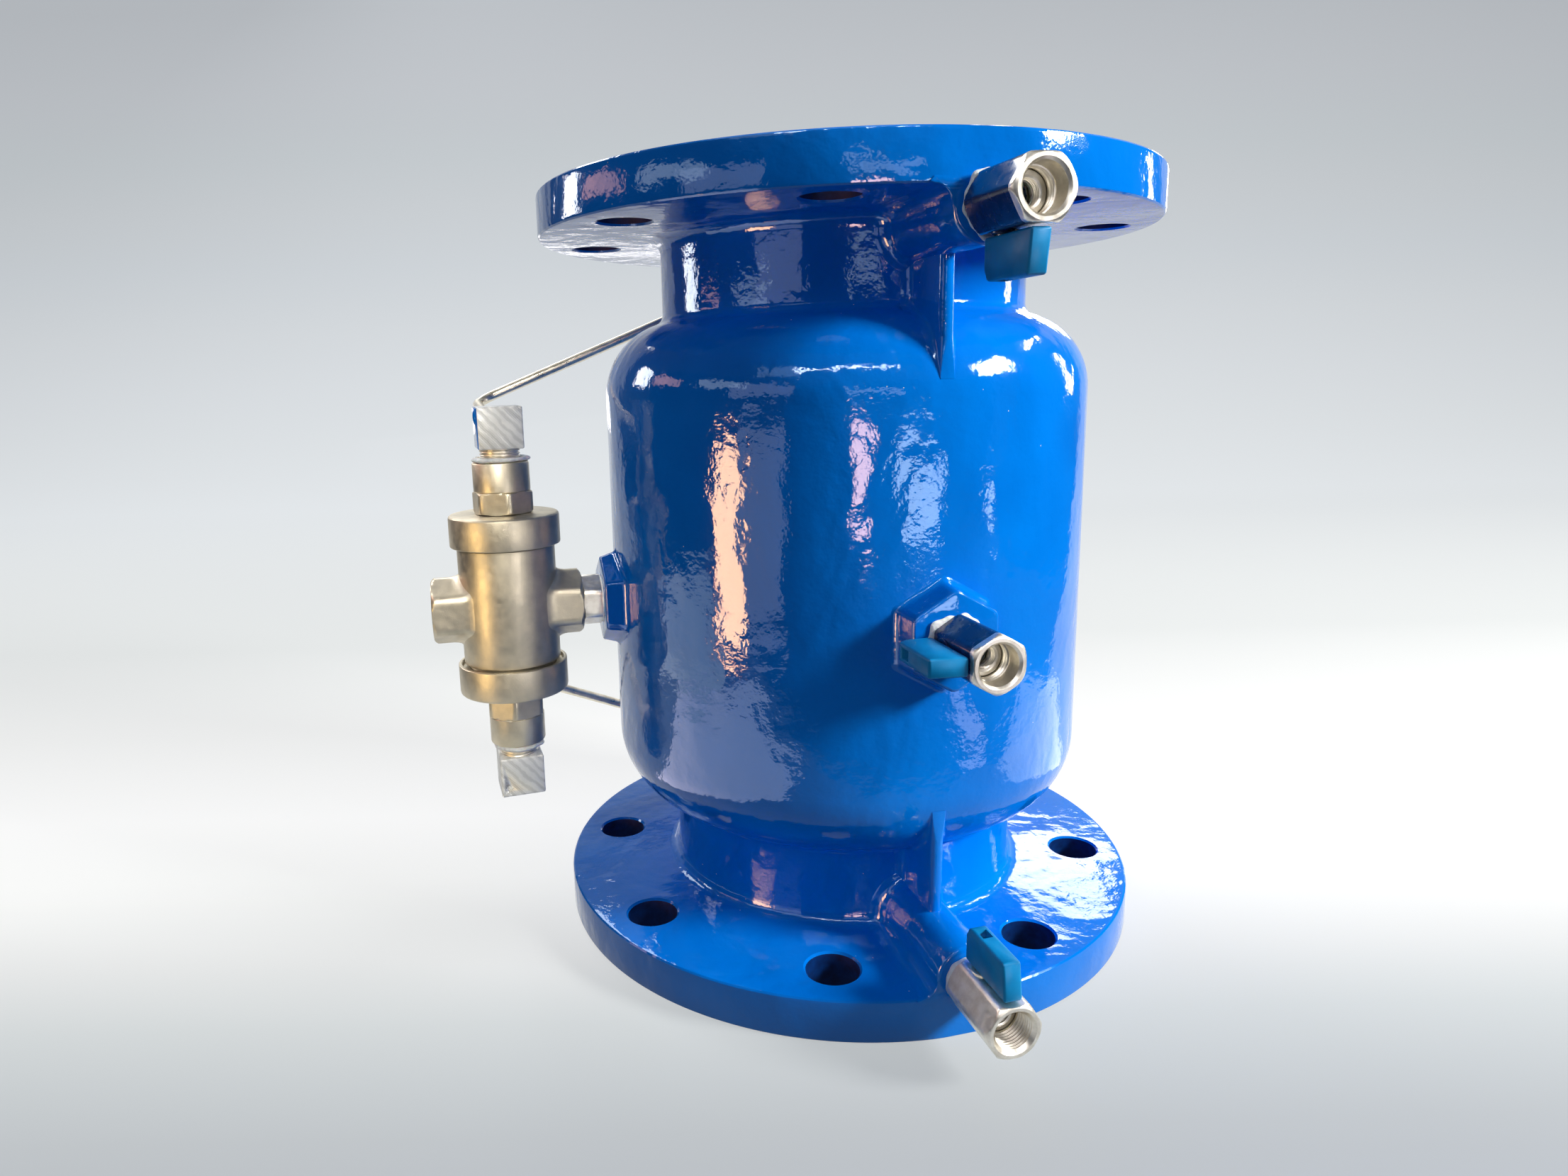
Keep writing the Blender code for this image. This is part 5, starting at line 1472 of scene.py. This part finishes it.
# %% Soft lamps
def soft_light(name, at, power, size, colour=(1, 1, 1), aim=(0, 0, 0.17)):
    """A rectangular lamp that looks at the object; places are in metres from the axis."""
    lamp = bpy.data.lights.new(name, "AREA")
    lamp.shape = "RECTANGLE"
    lamp.size, lamp.size_y = size
    lamp.energy = power
    lamp.color = colour
    light = bpy.data.objects.new(name, lamp)
    light.location = AXIS + Vector(at)
    toward = AXIS + Vector(aim) - light.location
    light.rotation_euler = toward.to_track_quat("-Z", "Y").to_euler()
    light.visible_camera = False
    bpy.context.scene.collection.objects.link(light)
    return light


soft_light("key", (1.45, -1.04, 1.05), 56, (0.50, 0.42), (1.0, 0.98, 0.95))
soft_light("fill", (-1.5, -1.3, 1.5), 2.2, (0.7, 0.5), (0.86, 0.92, 1.0))
soft_light("top", (-0.2, 0.1, 1.9), 1.5, (0.9, 0.9))
soft_light("back", (-0.6, 1.9, 1.8), 16, (1.0, 0.6))
print("key, fill, top and back lamps hung")

# %% [markdown]
# ## Windows mirrored in the paint
# The bright shapes in the paint are windows of the room. Real openings in a modelled room would
# light everything else too, so each window is a lamp that shows only in reflections, and some
# are kept to the enamelled pieces or to the relief valve. The place of each was found by
# mirroring the camera's ray where its image lies in the paint.

# %% The two groups of pieces
RELIEF_STARTS = ("relief_", "upper_", "lower_", "drain_port", "feed_nipple")


def gathered(name, belongs):
    """A collection of the pieces that a lamp may be kept to."""
    side = bpy.data.collections.new(name)
    for made in list(bpy.data.objects):
        if made.type in ("MESH", "CURVE") and belongs(made.name):
            side.objects.link(made)
    return side


ENAMEL_SIDE = gathered("enamel_side", lambda name: name.startswith("casting_body")
                       or name.endswith(("_pad", "_rib", "_boss")))
RELIEF_SIDE = gathered("relief_side", lambda name: name.startswith(RELIEF_STARTS)
                       and "pad" not in name and "boss" not in name)

# %% Windows
def window(name, at, glow, size, colour, aim, only=None):
    """A bright shape that shows only in reflections; glow is its brightness, white being 1."""
    light = soft_light(name, at, glow * math.pi * size[0] * size[1], size, colour, aim)
    light.visible_diffuse = False
    light.light_linking.receiver_collection = only


AMBER = (1.0, 0.68, 0.30)
DEEP_WARM = (1.0, 0.40, 0.18)
LILAC = (1.0, 0.85, 1.0)
ROSE = (1.0, 0.46, 0.36)
PALE = (1.0, 0.95, 0.95)
LEFT = (-0.07, -0.09, 0.2)
FRONT = (-0.03, -0.11, 0.23)
window("warm_window", (-0.592, -0.235, 0.109), 60, (0.145, 0.22), DEEP_WARM, LEFT, ENAMEL_SIDE)
window("relief_window", (-0.592, -0.235, 0.109), 8, (0.145, 0.22), AMBER, LEFT, RELIEF_SIDE)
window("lilac_window", (-0.506, -0.391, 0.126), 2.6, (0.20, 0.24), LILAC, LEFT, ENAMEL_SIDE)
window("neck_window", (-0.558, -0.386, 0.375), 2.4, (0.32, 0.13), LILAC, (-0.05, -0.07, 0.31),
       ENAMEL_SIDE)
window("front_window", (-0.262, -1.275, 0.137), 42, (0.16, 0.24), ROSE, FRONT, ENAMEL_SIDE)
window("front_neck_window", (-0.116, -1.32, 0.44), 4, (0.50, 0.10), PALE, FRONT)
window("right_window", (0.302, -1.231, 0.10), 14, (0.40, 0.14), PALE, FRONT)
window("rim_window", (-0.32, -1.23, 0.566), 4.5, (0.10, 0.08), PALE, (-0.04, -0.13, 0.33))
window("left_rim_window", (-0.683, -0.2, 0.446), 4, (0.30, 0.09), PALE, (-0.1, -0.1, 0.33))
window("side_rim_window", (-0.67, 0.147, 0.438), 6, (0.20, 0.09), ROSE, (-0.12, -0.07, 0.33))
window("edge_window", (-0.573, 0.345, 0.428), 16, (0.12, 0.16), PALE, (-0.13, -0.05, 0.33))
window("rear_window", (0.69, 0.82, 0.57), 12, (0.35, 0.25), PALE, (0.09, -0.06, 0.02))

# %% Ceilings, strips and glows
for i in range(4):
    window("ceiling_" + str(i), (-0.80 + 0.30 * i, -1.05 - 0.08 * i, 1.15), 60, (0.26, 0.05), PALE,
           (-0.04, -0.1, 0.26))
window("left_ceiling", (-0.707, 0.601, 1.21), 60, (0.4, 0.08), PALE, (-0.09, -0.06, 0.28))
window("right_ceiling", (0.92, 0.13, 0.86), 50, (0.5, 0.06), PALE, (0.04, -0.1, 0.27))
window("right_side", (0.90, 0.13, 0.40), 20, (0.05, 0.3), PALE, (0.06, -0.09, 0.26))
window("right_dashes", (0.93, -0.867, 0.07), 13, (0.10, 0.09), PALE, (0.021, -0.113, 0.211))
window("low_strip", (0.21, -0.36, 0.001), 5, (0.05, 0.14), LILAC, (0.21, -0.36, 1.0))
window("near_glow", (-0.315, -0.11, 0.001), 4.0, (0.25, 0.32), LILAC, (-0.315, -0.11, 1.0),
       ENAMEL_SIDE)
window("far_glow", (-0.69, 0.04, 0.001), 3.0, (0.48, 0.38), PALE, (-0.69, 0.04, 1.0), ENAMEL_SIDE)
window("right_glow", (0.34, -0.11, 0.001), 2.2, (0.24, 0.24), PALE, (0.34, -0.11, 1.0),
       ENAMEL_SIDE)
window("under_window", (0.12, 1.85, 0.12), 2, (1.1, 0.26), PALE, (-0.11, 0.06, 0.33))

# %% [markdown]
# ## Dark cards
# A photographer holds black cards beside glossy metal to give it dark edges. Here they stand
# round the object for reflections alone: no view sees them, and they shade nothing. Between the
# cards and under the paper lies a dark floor of the same kind.

# %% Dark cards
def dark_material():
    """Near-black blue with slow clouds."""
    finish = Finish("dark_card", Roughness=0.9)
    finish.set("Base Color", finish.ramp(finish.noise(300), (0.3, (0.002, 0.010, 0.03)),
                                         (0.7, (0.008, 0.028, 0.06))))
    return finish.material


CARD = dark_material()


def dark_card(name, at, size):
    """An upright card that keeps the pale room out of the paint's reflections."""
    across = Vector((-at[1], at[0], 0)).normalized() * size[0] / 2
    centre, up = Vector(at), Vector((0, 0, size[1]))
    card = flat_sheet(name, [(centre - across, centre + across),
                             (centre - across + up, centre + across + up)], CARD)
    card.visible_camera = False
    card.visible_diffuse = False
    card.visible_shadow = False


dark_card("left_card", (-1.15, -0.05, 0), (1.3, 0.8))
dark_card("right_card", (0.95, -0.15, 0), (1.0, 0.7))
dark_card("front_left_card", (-1.2, -1.5, 0), (1.8, 0.9))
dark_card("front_right_card", (0.6, -1.9, 0), (2.4, 0.9))
dark_floor = flat_sheet("dark_floor", [[(x, y, -0.002) for x in (-3, 3)] for y in (-3, 3)], CARD)
dark_floor.visible_camera = False
print("four dark cards and a dark floor stand")

# %% A lamp for the relief valve, which the barrel shades from the key
valve_fill = soft_light("valve_fill", (-0.55, -1.35, 0.75), 9.5, (0.6, 0.5), (1.0, 0.95, 0.83),
                        (-0.165, 0, 0.17))
valve_fill.light_linking.receiver_collection = RELIEF_SIDE

# %% [markdown]
# ## Camera
# The photograph was taken from close by, which makes the upper flange loom over the body. The
# place, aim and focal length were found from points of known height and radius on the object;
# a small shift holds the frame where the photograph has it.

# %% The photograph's camera
PHOTO_WIDTH = 2212
FOCAL_PIXELS = 1394.1
CAMERA_AT = Vector((-178.0, -464.8, 266.4))
lens = bpy.data.cameras.new("photo_camera")
lens.sensor_width = 36.0
lens.lens = FOCAL_PIXELS / PHOTO_WIDTH * lens.sensor_width
lens.shift_x = 0.0418
lens.shift_y = -0.0143
lens.clip_start = 0.01
camera = bpy.data.objects.new("photo_camera", lens)
forward, up = Vector((0.2341, 0.9529, -0.1929)).normalized(), Vector((0.0703, 0.1813, 0.9809))
right = forward.cross(up).normalized()
up = right.cross(forward)
turn = Matrix((right, up, -forward)).transposed().to_4x4()
camera.matrix_world = Matrix.Translation(AXIS + CAMERA_AT * MM) @ turn
bpy.context.scene.collection.objects.link(camera)
bpy.context.scene.camera = camera
bpy.context.scene.view_settings.view_transform = "Standard"
print("camera at", [round(v, 3) for v in camera.location])
